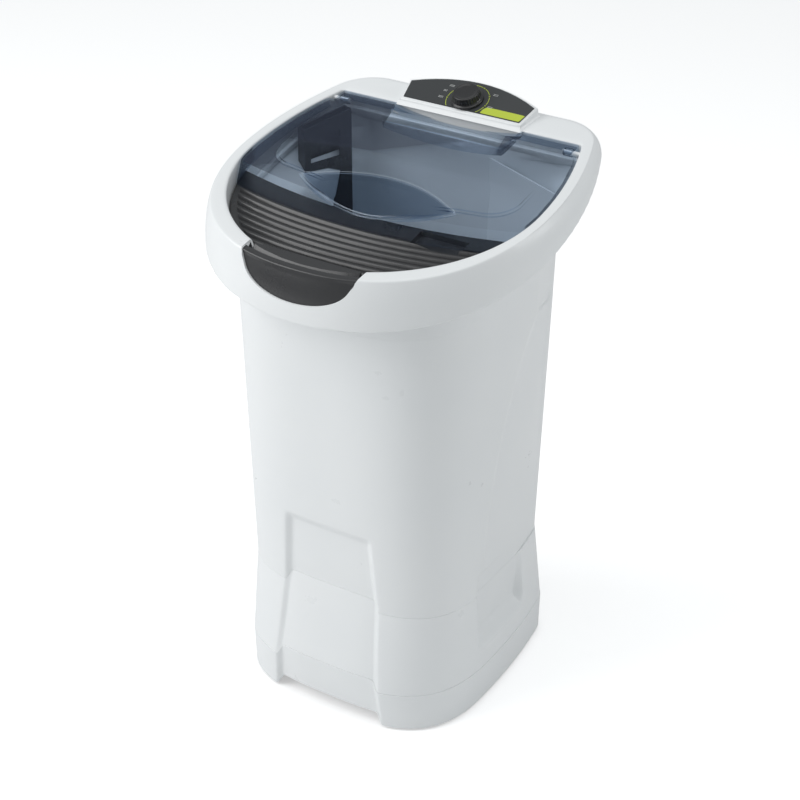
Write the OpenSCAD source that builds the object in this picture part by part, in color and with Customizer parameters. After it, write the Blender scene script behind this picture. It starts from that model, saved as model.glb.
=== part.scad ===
// Compact top-loading tub washer with a washboard, a clear lid and a dial timer.
// Millimetres. X runs across the machine, -Y is the front, Z is up.
// The origin is on the floor, under the middle of the machine's outer size.
// Plans are drawn about the tub's own axis, which stands axis_y behind the origin.

/* [Rim] */
// Widest size across the rim
rim_w = 486; // [440:2:540]
// Tub axis to the front of the rim
rim_front = 255; // [244:1:275]
// Tub axis to the back of the rim
rim_back = 208; // [202:1:232]
// Height of the rim's top plane over the tub axis
rim_h = 753; // [690:5:850]
// Fall of the rim's top plane towards the front, in degrees
rim_tilt = 9.5; // [7:0.5:11]
// Depth of the skirt's lower edge under the rim's top plane, over the tub axis
skirt_drop = 113; // [97:2:143]
// Fall of the skirt's lower edge towards the front, in degrees
skirt_tilt = 7; // [5:0.5:9]
// Widest size across the opening
mouth_w = 434; // [400:2:442]
// Tub axis to the front of the opening
mouth_front = 227; // [214:1:232]
// Tub axis to the straight back of the opening
mouth_back = 148; // [140:1:152]
// Half of the opening's straight back
mouth_back_half = 188; // [170:1:190]
// Depth of the opening's lip
lip_depth = 46; // [42:1:54]
// Half width of the hand notch in the front of the rim
notch_half = 80; // [60:1:90]
// Depth of the hand notch below the rim's top plane
notch_depth = 41; // [36:1:54]

/* [Body] */
// Width of the body under the rim
body_w = 362; // [340:2:372]
// Tub axis to the body's front, under the rim
body_front = 198; // [190:1:204]
// Tub axis to the body's back, under the rim
body_back = 155; // [148:1:160]
// Width at the seam between the tub and the base
neck_w = 344; // [330:2:356]
// Tub axis to the front at that seam
neck_front = 181; // [175:1:188]
// Tub axis to the back at that seam
neck_back = 142; // [138:1:148]
// Height of the seam between the tub and the base
neck_h = 184; // [170:2:200]
// Width at the seam between the base and the plinth
base_w = 358; // [350:2:372]
// Tub axis to the front at that seam
base_front = 201; // [196:1:208]
// Tub axis to the back at that seam
base_back = 154; // [150:1:160]
// Height of the seam between the base and the plinth
base_h = 62; // [56:1:70]
// Width at the plinth's lower edge
plinth_w = 352; // [344:2:366]
// Tub axis to the front of the plinth's lower edge
plinth_front = 196; // [190:1:204]
// Tub axis to the back of the plinth's lower edge
plinth_back = 157; // [150:1:162]
// Wall of the moulded shells
wall = 3.5; // [2.5:0.25:5]
// Height of the tub's floor
floor_h = 290; // [270:5:320]
// Depth of the panel sunk into the front
front_panel_depth = 6; // [4:0.5:8]
// Height of that panel's upper edge
front_panel_h = 290; // [260:5:330]
// Rise of the arch between the front legs
arch_rise = 17; // [10:1:22]
// Depth of the hand pocket in each side of the base
pocket_depth = 20; // [12:1:24]
// Depth of the styled hollow in each side of the tub
side_hollow_depth = 2.5; // [1:0.25:2.75]

/* [Lid] */
// Tub axis to the middle of the lid's front edge
lid_front = 88; // [78:1:100]
// Sweep of the lid's front edge, middle to corner
lid_sweep = 22; // [14:1:30]
// Height of the lid's sloping front skirt
lid_skirt = 23; // [18:1:26]
// Wall of the clear lid
lid_wall = 2.5; // [2:0.25:3]
// Depth of the finger scoop at the lid's front edge
scoop_depth = 9; // [6:0.5:12]
// Diameter of the lid's hinge pins
hinge_pin_d = 6; // [5:0.5:8]

/* [Washboard] */
// Drop of the ribs' tops below the rim's top plane
board_drop = 20; // [16:1:24]
// Number of scrubbing ribs
rib_count = 9; // [7:1:10]
// Height of a scrubbing rib
rib_h = 3.5; // [2.5:0.25:5]

/* [Controls] */
// Width of the control panel's front edge
panel_w = 180; // [150:2:184]
// Rise of the panel towards the back, in degrees
panel_tilt = 20.5; // [14:0.5:24]
// Diameter of the timer knob's skirt
knob_d = 45; // [36:1:52]
// Height of the timer knob
knob_h = 14; // [10:1:20]

/* [Drive] */
// Diameter of the impeller
impeller_d = 250; // [200:5:270]
// Diameter of the impeller's shaft
shaft_d = 12; // [10:1:16]
// Diameter of the large pulley
pulley_d = 150; // [130:5:170]
// Diameter of the motor pulley
motor_pulley_d = 32; // [26:1:40]
// Diameter of the motor
motor_d = 104; // [90:2:106]

/* [Hidden] */

axis_y = (rim_front - rim_back) / 2;
rim_slope = tan(rim_tilt);
skirt_slope = tan(skirt_tilt);
fit = 0.3;
seam = 0.6;
cover_wall = 3;
reach = 600;

// Height of the belt
belt_z = 120;

white = [0.93, 0.95, 0.955];
smoke = [0.42, 0.50, 0.62, 0.5];
black = [0.13, 0.13, 0.14];
charcoal = [0.22, 0.24, 0.25];
grey = [0.55, 0.57, 0.59];
steel = [0.72, 0.73, 0.75];
brass = [0.75, 0.6, 0.3];
rubber = [0.08, 0.08, 0.08];
paint = [0.25, 0.28, 0.32];

// Plan outlines. An outline is [half width, front, back, half width at the back corner,
// corner radius, squareness of the front, y of the widest place, half width of the front
// panel, depth to which that panel is sunk].
arc_steps = 8;
side_steps = 4;
corner_steps = 4;
panel_points = 4;
body_widest = -35;
rim_widest = -6;
mouth_widest = -20;
corner_r = 40;
panel_head_half = 72;
panel_foot_half = 92;
shoulder = 13;

// Narrowing of the body's half width from its widest place to the back corner
body_draw = 13;

function body_outline(w, f, b, n) =
    [w / 2, f, b, w / 2 - body_draw, corner_r, n, body_widest, panel_head_half, 0];
top_outline = body_outline(body_w, body_front, body_back, 3.0);
neck_outline = body_outline(neck_w, neck_front, neck_back, 3.2);
base_outline = body_outline(base_w, base_front, base_back, 2.9);
plinth_outline = body_outline(plinth_w, plinth_front, plinth_back, 3.1);
rim_outline = [rim_w / 2, rim_front, rim_back, rim_w / 2 - 38, 72, 2.17, rim_widest, panel_head_half, 0];
mouth_outline =
    [mouth_w / 2, mouth_front, mouth_back, mouth_back_half, 8, 2.0, mouth_widest, panel_head_half, 0];

// An outline moved in by d all round.
function inset(o, d) =
    [o[0] - d, o[1] - d, o[2] - d, o[3] - d, max(o[4] - d, 2), o[5], o[6], o[7], o[8]];

// An outline part way from one to another.
function mix(p, q, k) = p * (1 - k) + q * k;

// The front of an outline at x.
function front_y(o, x) = o[6] - (o[1] + o[6]) * pow(1 - pow(x / o[0], o[5]), 1 / o[5]);

// Points of an outline's right half, from the middle of the front round to the back corner.
function half_plan(o) =
    let (
        outer = o[7],
        inner = outer - shoulder,
        from = asin(pow(outer / o[0], o[5] / 2)),
        lead = atan(2 * (o[0] - o[3]) / (o[2] - o[4] - o[6])),
        end_y = o[2] - o[4] + o[4] * sin(lead),
        middle_x = o[3] - o[4] * cos(lead)
    )
    concat(
        [for (x = [0, inner / 2, inner]) [x, front_y(o, x) + o[8]]],
        [[outer, front_y(o, outer)]],
        [for (i = [1:arc_steps])
            let (t = from + (90 - from) * i / arc_steps)
            [o[0] * pow(sin(t), 2 / o[5]), o[6] - (o[1] + o[6]) * pow(cos(t), 2 / o[5])]],
        [for (i = [1:side_steps])
            let (s = i / side_steps)
            [o[0] - (o[0] - o[3]) * s * s, o[6] + (end_y - o[6]) * s]],
        [for (i = [1:corner_steps])
            let (t = lead + (90 - lead) * i / corner_steps)
            [middle_x + o[4] * cos(t), o[2] - o[4] + o[4] * sin(t)]]
    );

// Points of a whole outline, anticlockwise from the middle of the front.
function plan(o) =
    let (right = half_plan(o))
    concat(right, [for (i = [len(right) - 1:-1:1]) [-right[i].x, right[i].y]]);

plan_count = 2 * (panel_points + arc_steps + side_steps + corner_steps) - 1;

// A ring of an outline on the plane z + slope * y.
function ring(o, z, slope = 0) = [for (p = plan(o)) [p.x, p.y, z + slope * p.y]];

// The side faces between ring r and the next.
function band(r, s, n) = [for (j = [0:n - 1])
    let (k = (j + 1) % n)
    each [[r * n + j, s * n + j, s * n + k], [r * n + j, s * n + k, r * n + k]]];

// The middle of a ring.
function middle(r) = [for (p = r) 1] * r / len(r);

// A solid through a stack of rings, closed at both ends by fans from the middle.
module loft(rings) {
    n = len(rings[0]);
    last = len(rings) - 1;
    hub = n * (last + 1);
    polyhedron(
        points = concat([for (r = rings) each r], [middle(rings[0]), middle(rings[last])]),
        faces = concat(
            [for (j = [0:n - 1]) [j, (j + 1) % n, hub]],
            [for (r = [0:last - 1]) each band(r, r + 1, n)],
            [for (j = [0:n - 1]) [last * n + (j + 1) % n, last * n + j, hub + 1]]
        ),
        convexity = 6
    );
}

// A closed band, through rings that come back to the first one.
module ring_loft(rings) {
    n = len(rings[0]);
    count = len(rings);
    polyhedron(
        points = [for (r = rings) each r],
        faces = [for (r = [0:count - 1]) each band(r, (r + 1) % count, n)],
        convexity = 10
    );
}

// Everything is drawn about the tub's axis and then moved to the shared origin.
module placed() {
    translate([0, axis_y, 0]) children();
}

// A frame whose XY plane is the rim's top plane.
module on_rim() {
    translate([0, 0, rim_h]) rotate([rim_tilt, 0, 0]) children();
}

skirt_h = rim_h - skirt_drop;
function rim_z(y) = rim_h + rim_slope * y;
function skirt_z(y) = skirt_h + skirt_slope * y;

// A ring at depth d under the rim's top plane, measured square to it.
function rim_ring(o, d) =
    [for (p = plan(o)) [p.x, p.y + d * sin(rim_tilt), rim_z(p.y) - d * cos(rim_tilt)]];

// Depth of the lip below the rim's top plane. It gets shallower behind the washboard.
lip_turn = mouth_widest;
lip_rise = 24;
function lip_drop(y) = lip_depth - lip_rise * min(max((y - lip_turn) / (mouth_back - lip_turn), 0), 1);

// A ring at depth d under the lip's lower edge.
function lip_ring(o, d) =
    [for (p = plan(o))
        let (down = lip_drop(p.y) + d)
        [p.x, p.y + down * sin(rim_tilt), rim_z(p.y) - down * cos(rim_tilt)]];

// The opening's outline as seen square to the rim's top plane.
function mouth_plan(d) = [for (p = plan(inset(mouth_outline, d))) [p.x, p.y / cos(rim_tilt)]];

// Outer skin of the rim. Height v runs from 0 at the skirt's edge to 1 at the top plane.
// Each pair of values below holds at the front and at the back.
bulge_start = [0.2, 0.1];
bulge_top = [0.36, 0.83];
bulge_lead = [1.4, 2.3];
bulge_round = 1.25;
bulge_draw = 0.2;
function backness(y) = min(max((y + rim_front) / (rim_back + rim_front), 0), 1);
function pick(pair, y) = pair[0] + (pair[1] - pair[0]) * backness(y);
function bulge(v, y) =
    let (
        start = pick(bulge_start, y),
        top = pick(bulge_top, y),
        rise = pow(min(max((v - start) / (top - start), 0), 1), pick(bulge_lead, y)),
        above = max((v - top) / (1 - top), 0)
    )
    pow(1 - pow(1 - rise, bulge_round), 1 / bulge_round) - bulge_draw * pow(above, 2.4);

// The ring of the skin at height v, or of its inner side with wall t.
function skin_ring(v, t) =
    let (low = plan(inset(top_outline, t)), high = plan(inset(rim_outline, t)))
    [for (i = [0:plan_count - 1])
        let (
            k = bulge(v, high[i].y),
            p = mix(low[i], high[i], k)
        )
        [p.x, p.y, skirt_z(p.y) + 1.5 * t + (rim_z(p.y) - skirt_z(p.y) - 2.5 * t) * v]];

skin_heights = [0, 0.1, 0.2, 0.27, 0.34, 0.44, 0.56, 0.68, 0.8, 0.9, 1];
land_outline = mix(rim_outline, mouth_outline, 0.8);

// The shell of the rim: up the outside, over the land, down the lip and back up the inside.
lip_outside = inset(mouth_outline, -cover_wall);
module cover_shell() {
    ring_loft(concat(
        [for (v = skin_heights) skin_ring(v, 0)],
        [rim_ring(land_outline, 0)],
        [rim_ring(mix(rim_outline, mouth_outline, 0.94), cover_wall / 4)],
        [rim_ring(mouth_outline, cover_wall)],
        [lip_ring(mouth_outline, 0)],
        [lip_ring(lip_outside, 0)],
        [rim_ring(lip_outside, cover_wall * 2)],
        [rim_ring(inset(land_outline, cover_wall), cover_wall)],
        [for (i = [len(skin_heights) - 2:-1:0]) skin_ring(skin_heights[i], cover_wall)]
    ));
}

// The space between the shell's skin and its lip, where the notch's own wall stands.
notch_room = inset(mouth_outline, -2.6);
module notch_space() {
    ring_loft(concat(
        [for (v = [0.34, 0.44, 0.56, 0.68, 0.8, 0.9]) skin_ring(v, 1)],
        [rim_ring(inset(land_outline, 1), 1)],
        [rim_ring(notch_room, cover_wall + 1)],
        [lip_ring(notch_room, 12)]
    ));
}

// The hand notch, as a round-bottomed outline seen from the front.
notch_steps = 24;
module notch_prism(grow) {
    translate([0, -60, rim_z(-rim_front)])
        rotate([90, 0, 0])
            linear_extrude(reach)
                polygon(concat(
                    [for (i = [0:notch_steps])
                        let (t = 180 * i / notch_steps)
                        [-(notch_half + grow) * cos(t), -(notch_depth + grow) * pow(sin(t), 0.85)]],
                    [[notch_half + grow, 90], [-notch_half - grow, 90]]
                ));
}

// The control pod on the back deck.
panel_front_y = mouth_back + 4;
panel_front_z = rim_z(mouth_back) + 7;
panel_back_y = 204;
panel_corner_y = 182;
panel_flare = 6;
pod_margin = 4;
panel_slope = tan(panel_tilt);
function panel_z(y) = panel_front_z + panel_slope * (y - panel_front_y);

// The panel's plan: a straight front, splayed ends and a bowed back.
module panel_plan(grow) {
    half = panel_w / 2 + grow;
    bow_steps = 12;
    bow = panel_back_y - panel_corner_y;
    polygon(concat(
        [[-half, panel_front_y - grow], [half, panel_front_y - grow]],
        [for (i = [0:bow_steps])
            let (s = 1 - 2 * i / bow_steps)
            [(half + panel_flare) * s, panel_corner_y + grow + bow * (1 - s * s)]]
    ));
}

// The frame whose XY plane is the panel's face, at the middle of its front edge.
module on_panel() {
    translate([0, panel_front_y, panel_front_z]) rotate([panel_tilt, 0, 0]) children();
}

knob_y = 171;
knob_out = (knob_y - panel_front_y) / cos(panel_tilt);

module pod() {
    intersection() {
        linear_extrude(rim_h + 200) panel_plan(pod_margin);
        translate([-reach / 2, 0, 0]) rotate([90, 0, 90]) linear_extrude(reach)
            polygon([
                [100, rim_z(100) - cover_wall / 2],
                [240, rim_z(240) - cover_wall / 2],
                [240, panel_z(240)],
                [100, panel_z(100)]
            ]);
    }
}

// Room inside the pod for the timer, open below.
module pod_room() {
    intersection() {
        translate([-62, panel_front_y + 3, rim_h - 40]) cube([124, 42, 200]);
        translate([-reach / 2, 0, 0]) rotate([90, 0, 90]) linear_extrude(reach)
            polygon([[100, 600], [240, 600], [240, panel_z(240) - 3], [100, panel_z(100) - 3]]);
    }
}

hinge_y = mouth_back - 14;
hinge_drop = 7;
hinge_half = mouth_back_half - 4;

// The hinge axis in the rim's frame and in the tub's frame.
hinge_world_y = hinge_y + hinge_drop * sin(rim_tilt);
hinge_world_z = rim_z(hinge_y) - hinge_drop * cos(rim_tilt);

module hinge_rod(d, from, to) {
    translate([from, hinge_world_y, hinge_world_z]) rotate([0, 90, 0])
        cylinder(d = d, h = to - from, $fn = 48);
}

module top_cover() color(white) placed() {
    difference() {
        union() {
            cover_shell();
            pod();
            intersection() {
                notch_space();
                notch_prism(cover_wall);
            }
        }
        notch_prism(0);
        pod_room();
        on_panel() {
            translate([0, knob_out, -10]) cylinder(d = timer_neck_d + 1, h = 20, $fn = 48);
            timer_screw_places() {
                translate([0, 0, -12]) cylinder(d = 4.4, h = 20, $fn = 32);
                translate([0, 0, -1.5]) cylinder(d = 8, h = 10, $fn = 32);
            }
        }
        hinge_rod(hinge_pin_d + 0.02, hinge_half - 2, hinge_half + 20);
        hinge_rod(hinge_pin_d + 0.02, -hinge_half - 20, -hinge_half + 2);
    }
}

// Outlines of the body from the floor to the skirt, with the front panel sunk into them.
function stretch(z) =
    z < base_h ? mix(plinth_outline, base_outline, z / base_h) :
    z < neck_h ? mix(base_outline, neck_outline, (z - base_h) / (neck_h - base_h)) :
    mix(neck_outline, top_outline, min((z - neck_h) / (skirt_h - neck_h), 1));
function panel_half(z) =
    panel_foot_half + (panel_head_half - panel_foot_half) * min(z / front_panel_h, 1);
function panel_sink(z) =
    front_panel_depth * min(max(1 - (z - front_panel_h) / shoulder, 0), 1);
function level(z) =
    let (o = stretch(z))
    [o[0], o[1], o[2], o[3], o[4], o[5], o[6], panel_half(z), panel_sink(z)];

// A solid through the body's outlines at the heights given, moved in by d.
module body_loft(heights, d) {
    loft([for (z = heights) ring(inset(level(z), d), z)]);
}

// Everything under a seam at height z, with the seam's step at the front.
module below(z) {
    outer = panel_half(z) - shoulder / 2;
    translate([0, -100, 0]) rotate([90, 0, 0]) linear_extrude(reach)
        polygon([
            [-reach, -50], [reach, -50], [reach, z], [outer, z],
            [outer - shoulder, z + arch_rise], [shoulder - outer, z + arch_rise],
            [-outer, z], [-reach, z]
        ]);
    translate([-reach, -100, -50]) cube([reach * 2, reach, z + 50]);
}

// The hand pocket in the side: a profile seen from the front, along the side's length.
pocket_front = -74;
pocket_back = 62;
pocket_low = 92;
pocket_high = 222;
module pocket(side, grow) {
    face = base_w / 2;
    depth_x = face - pocket_depth - grow;
    head_x = neck_w / 2 - 3 - grow;
    mirror([side < 0 ? 1 : 0, 0, 0])
        translate([0, pocket_back + grow, 0]) rotate([90, 0, 0])
            linear_extrude(pocket_back - pocket_front + 2 * grow)
                polygon([
                    [reach / 2, pocket_low - 6 - grow], [face, pocket_low - 6 - grow],
                    [face - 8, pocket_low - 2 - grow], [depth_x + 3, pocket_low + 8 - grow],
                    [depth_x, pocket_low + 18 - grow], [head_x, pocket_high + grow],
                    [reach / 2, pocket_high + 6 + grow]
                ]);
}

module pockets(grow) {
    for (side = [-1, 1]) pocket(side, grow);
}

// The styled hollow in the side of the tub: the part inside a tall ellipse.
hollow_y = 140;
hollow_w = 204;
hollow_h = 409;
module side_hollow(side) {
    mirror([side < 0 ? 1 : 0, 0, 0])
        translate([100, 0, 0]) rotate([90, 0, 90]) linear_extrude(reach)
            translate([hollow_y, neck_h])
                scale([hollow_w, hollow_h]) circle(r = 1, $fn = 72);
}

// Funnel of the tub, inside the rim's skin, up to the ledge under the rim's lip.
flange_drop = lip_depth + fit;
ledge_outline = inset(mouth_outline, 5);
ledge_t = 5;
flange_outer = inset(mouth_outline, -2);
spigot_outline = inset(top_outline, cover_wall + fit);
spigot_h = 5;
funnel_in = cover_wall + 2;
funnel_steps = 5;

// Ring u of the funnel, from 0 at the skirt to 1 under the flange: inside the skin by t, and
// no wider than the flange.
function funnel_ring(u, t) =
    let (
        low = plan(inset(top_outline, t)),
        high = plan(inset(rim_outline, t)),
        goal = plan(inset(flange_outer, t - funnel_in))
    )
    [for (i = [0:plan_count - 1])
        let (
            out = high[i] - low[i],
            y = high[i].y,
            widest = min(max(((goal[i] - low[i]) * out) / (out * out), 0), 1),
            room = rim_z(y) - skirt_z(y),
            v = u * (room - lip_drop(y) - fit - 20) / room,
            p = low[i] + out * min(bulge(v, y), widest)
        )
        [p.x, p.y, skirt_z(p.y) + 1.5 * t + (rim_z(p.y) - skirt_z(p.y) - 2.5 * t) * v]];

module tub_outside() {
    loft(concat(
        [for (z = [neck_h - 4, front_panel_h, front_panel_h + shoulder, 420, 520]) ring(level(z), z)],
        [ring(top_outline, skirt_h - seam, skirt_slope)],
        [ring(spigot_outline, skirt_h - seam, skirt_slope)],
        [ring(spigot_outline, skirt_h + spigot_h, skirt_slope)],
        [for (i = [1:funnel_steps]) funnel_ring(i / funnel_steps, funnel_in)],
        [lip_ring(flange_outer, fit + 10)],
        [lip_ring(flange_outer, fit)]
    ));
}

// The tub's inner space, less a gap all round.
module tub_inside(gap) {
    loft(concat(
        [for (z = [floor_h, max(floor_h, front_panel_h) + shoulder, 420, 520])
            ring(inset(level(z), wall + gap), z)],
        [ring(inset(top_outline, wall + gap), skirt_h - 30, skirt_slope)],
        [ring(inset(spigot_outline, wall + gap), skirt_h - 8, skirt_slope)],
        [for (i = [1:funnel_steps]) funnel_ring(i / funnel_steps, funnel_in + wall + gap)],
        [lip_ring(inset(flange_outer, wall + gap), fit + 12)],
        [lip_ring(inset(ledge_outline, gap), fit + ledge_t)],
        [rim_ring(inset(ledge_outline, gap), 2)]
    ));
}

floor_t = 4;
hub_boss_d = 132;
hub_boss_t = 10;
post_d = 18;
module wash_tub() color(white) placed() {
    difference() {
        union() {
            difference() {
                tub_outside();
                tub_inside(0);
                difference() {
                    body_loft([neck_h - 10, floor_h - floor_t], wall);
                    pockets(wall);
                }
            }
            translate([0, 0, floor_h - hub_boss_t]) cylinder(d = hub_boss_d, h = hub_boss_t - 1, $fn = 96);
            motor_posts() translate([0, 0, motor_top])
                cylinder(d = post_d, h = floor_h - motor_top - 1, $fn = 48);
            translate([drain_x, drain_y, floor_h - hub_boss_t])
                cylinder(d = drain_bore + 14, h = hub_boss_t - 1, $fn = 64);
            intersection() {
                body_loft([neck_h - 4, neck_h + 40], 1);
                boss_places(neck_outline) translate([0, 0, neck_h]) cylinder(d = boss_d, h = 34, $fn = 48);
            }
        }
        pockets(0);
        difference() {
            for (side = [-1, 1]) side_hollow(side);
            body_loft([neck_h - 10, skirt_h], side_hollow_depth);
        }
        below(neck_h + seam / 2);
        translate([0, 0, floor_h - 20]) cylinder(d = hub_bore, h = 40, $fn = 64);
        housing_screw_places() translate([0, 0, floor_h - hub_boss_t - 1]) cylinder(d = 4.2, h = 8, $fn = 32);
        translate([drain_x, drain_y, floor_h - 20]) cylinder(d = drain_bore, h = 40, $fn = 64);
        motor_posts() translate([0, 0, motor_top - 1]) cylinder(d = 5, h = 24, $fn = 32);
        boss_places(neck_outline) translate([0, 0, neck_h - 2]) cylinder(d = 4.2, h = 26, $fn = 32);
        translate([capacitor_x, capacitor_y + clip_screw_y, floor_h - floor_t - 10])
            cylinder(d = 3.2, h = 13, $fn = 32);
    }
}

// Screw bosses stand inside the four corners of an outline.
boss_d = 15;
boss_in = boss_d / 2 + 1.5;
front_corner = panel_points + 2;
back_corner = panel_points + arc_steps + side_steps + corner_steps / 2 - 1;
function corner_points(o, d) =
    let (h = half_plan(inset(o, d)), f = h[front_corner], b = h[back_corner])
    [f, b, [-b.x, b.y], [-f.x, f.y]];

module boss_places(o) {
    for (p = corner_points(o, boss_in)) translate([p.x, p.y, 0]) children();
}

// Everything over a seam at height z.
module above(z) {
    difference() {
        translate([-reach, -reach, 0]) cube(2 * reach);
        below(z);
    }
}

module base_housing() color(white) placed() {
    difference() {
        union() {
            difference() {
                body_loft([base_h - 2, neck_h, neck_h + arch_rise + 2], 0);
                difference() {
                    body_loft([base_h - 6, neck_h, neck_h + arch_rise + 6], wall);
                    pockets(wall);
                }
            }
            intersection() {
                body_loft([base_h - 3, neck_h + 2], 1);
                union() {
                    boss_places(neck_outline) translate([0, 0, neck_h - 14])
                        cylinder(d = boss_d, h = 16, $fn = 48);
                    boss_places(base_outline) translate([0, 0, base_h - 1])
                        cylinder(d = boss_d, h = 26, $fn = 48);
                }
            }
        }
        boss_places(neck_outline) translate([0, 0, neck_h - 20]) cylinder(d = 5, h = 30, $fn = 32);
        boss_places(base_outline) translate([0, 0, base_h - 5]) cylinder(d = 4.2, h = 26, $fn = 32);
        on_back() {
            translate([-access_w / 2, -access_h / 2, -20]) cube([access_w, access_h, 40]);
            access_screw_places() translate([0, 0, -12]) cylinder(d = 3.2, h = 20, $fn = 32);
        }
        back_bore(gland_x, gland_z, gland_d);
        back_bore(spigot_x, spigot_z, spigot_neck_d);
        pockets(0);
        below(base_h + seam / 2);
        above(neck_h - seam / 2);
    }
}

foot_proud = 4;
foot_h = 8;
foot_d = 34;
foot_boss_d = 44;
foot_in = foot_boss_d / 2 - 1;
pan_z = 26;
pan_t = 3;

module foot_places() {
    for (p = corner_points(plinth_outline, foot_in)) translate([p.x, p.y, 0]) children();
}

module plinth() color(white) placed() {
    difference() {
        union() {
            difference() {
                body_loft([foot_proud, base_h, base_h + arch_rise + 2], 0);
                body_loft([-2, base_h, base_h + arch_rise + 6], wall);
            }
            intersection() {
                body_loft([foot_proud, base_h], 0.5);
                foot_places() translate([0, 0, foot_proud])
                    cylinder(d = foot_boss_d, h = pan_z - foot_proud, $fn = 64);
            }
            intersection() {
                body_loft([foot_proud, base_h, base_h + arch_rise + 2], 1);
                boss_places(base_outline) translate([0, 0, base_h - 14])
                    cylinder(d = boss_d, h = 16, $fn = 48);
            }
        }
        above(base_h - seam / 2);
        intersection() {
            below(foot_proud - 0.5);
            translate([-reach, -reach, -1]) cube([2 * reach, reach - 150, 60]);
        }
        foot_places() {
            translate([0, 0, -1]) cylinder(d = foot_d + 2 * fit, h = foot_h + 1, $fn = 64);
            translate([0, 0, foot_h + 3]) cylinder(d = 3.2, h = 30, $fn = 32);
        }
        boss_places(base_outline) translate([0, 0, base_h - 20]) cylinder(d = 5, h = 30, $fn = 32);
    }
}

module foot(n) color(rubber) placed() {
    p = corner_points(plinth_outline, foot_in)[n];
    translate([p.x, p.y, 0]) rotate_extrude($fn = 64)
        polygon([[0, 0], [foot_d / 2 - 2, 0], [foot_d / 2, 2], [foot_d / 2, foot_h], [0, foot_h]]);
}

// A pan-head screw that points down from height z.
module screw(z, d, length, head) {
    translate([0, 0, z]) {
        difference() {
            cylinder(d = head, h = 2.4, $fn = 32);
            for (a = [0, 90]) rotate(a) translate([-head / 4, -0.5, 1.2]) cube([head / 2, 1, 3]);
        }
        translate([0, 0, -length]) cylinder(d = d, h = length + 1, $fn = 32);
    }
}

// The same screw, pointing up from height z.
module screw_up(z, d, length, head) {
    translate([0, 0, z]) mirror([0, 0, 1]) screw(0, d, length, head);
}

module base_screws() color(steel) placed() {
    boss_places(neck_outline) screw_up(neck_h - 14, 4.1, 34, 9);
    boss_places(base_outline) screw_up(base_h - 14, 4.1, 34, 9);
}

// Slotted pan that closes the underside.
pan_slots = 8;
module base_pan() color(grey) placed() {
    difference() {
        body_loft([pan_z, pan_z + pan_t], wall + 1);
        for (i = [0:pan_slots - 1], s = [-1, 1])
            translate([(i - (pan_slots - 1) / 2) * 22 - 4, s * 52 - 60, pan_z - 5]) cube([8, 76, 20]);
        foot_places() translate([0, 0, pan_z - 5]) cylinder(d = 4, h = 20, $fn = 32);
    }
}

module pan_screws() color(steel) placed() {
    foot_places() screw(pan_z + pan_t, 3.1, 12, 8);
}

// Lid. Its outline is the opening's, less a running gap, and its front edge is a wide arc.
lid_gap = 2;
front_half = mouth_w / 2 - 26;
sweep_r = (front_half * front_half + lid_sweep * lid_sweep) / (2 * lid_sweep);
sweep_y = sweep_r - lid_front / cos(rim_tilt);
lid_top = -0.6;
lid_back_y = (mouth_back - lid_gap) / cos(rim_tilt);

// The space behind the lid's front skirt, moved in by d.
module lid_space(d) {
    slope_d = d * sqrt(2);
    intersection() {
        translate([0, 0, -lid_skirt - 30]) linear_extrude(lid_skirt + 60) polygon(mouth_plan(lid_gap + d));
        translate([0, sweep_y, lid_top - lid_skirt - 20])
            cylinder(r1 = sweep_r + lid_skirt + 20 - slope_d, r2 = sweep_r - slope_d - 20,
                h = lid_skirt + 40, $fn = 240);
    }
}

// Depth of the lid's skirt, from the back to the front.
skirt_back = 12;
module lid_body() {
    intersection() {
        lid_space(0);
        translate([-reach / 2, 0, 0]) rotate([90, 0, 90]) linear_extrude(reach)
            polygon([
                [-150, lid_top], [lid_back_y + 5, lid_top],
                [lid_back_y + 5, lid_top - skirt_back], [-lid_front, lid_top - lid_skirt],
                [-150, lid_top - lid_skirt]
            ]);
    }
}

// The dished middle of the lid: a shallow wedge, deepest at the front.
dish_half = 182;
dish_front = 66;
dish_r = 40;
dish_depth = 3;
module dish_plan(grow) {
    offset(r = dish_r, $fn = 48)
        polygon([
            [-dish_half + dish_r - grow, 30], [-dish_half + dish_r - grow, dish_r - dish_front + 22 - grow],
            [0, dish_r - dish_front - grow],
            [dish_half - dish_r + grow, dish_r - dish_front + 22 - grow], [dish_half - dish_r + grow, 30]
        ]);
}

module lid_dish(grow, low) {
    intersection() {
        translate([0, 0, -30]) linear_extrude(60) dish_plan(grow);
        translate([-reach / 2, 0, 0]) rotate([90, 0, 90]) linear_extrude(reach)
            polygon([[-150, 20], [30, 20], [30, lid_top - low],
                [-150, lid_top - low - dish_depth * 180 / 96]]);
    }
}

// The finger scoop: the part of a wide ball that lies in front of an upright arc.
scoop_half = 120;
scoop_y = -56;
scoop_sag = 41;
scoop_arc = (scoop_half * scoop_half + scoop_sag * scoop_sag) / (2 * scoop_sag);
scoop_ball = (pow(scoop_arc, 2) - pow(scoop_arc - 2 * scoop_sag, 2)) / (2 * scoop_depth);
module lid_scoop(t) {
    ring_y = scoop_y + scoop_sag - scoop_arc;
    lift = sqrt(scoop_ball * scoop_ball - scoop_arc * scoop_arc);
    intersection() {
        translate([0, ring_y, lid_top + lift]) sphere(r = scoop_ball + t, $fn = 360);
        translate([0, scoop_y + scoop_arc - scoop_sag, -40]) cylinder(r = scoop_arc + t, h = 60, $fn = 240);
    }
}

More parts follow.
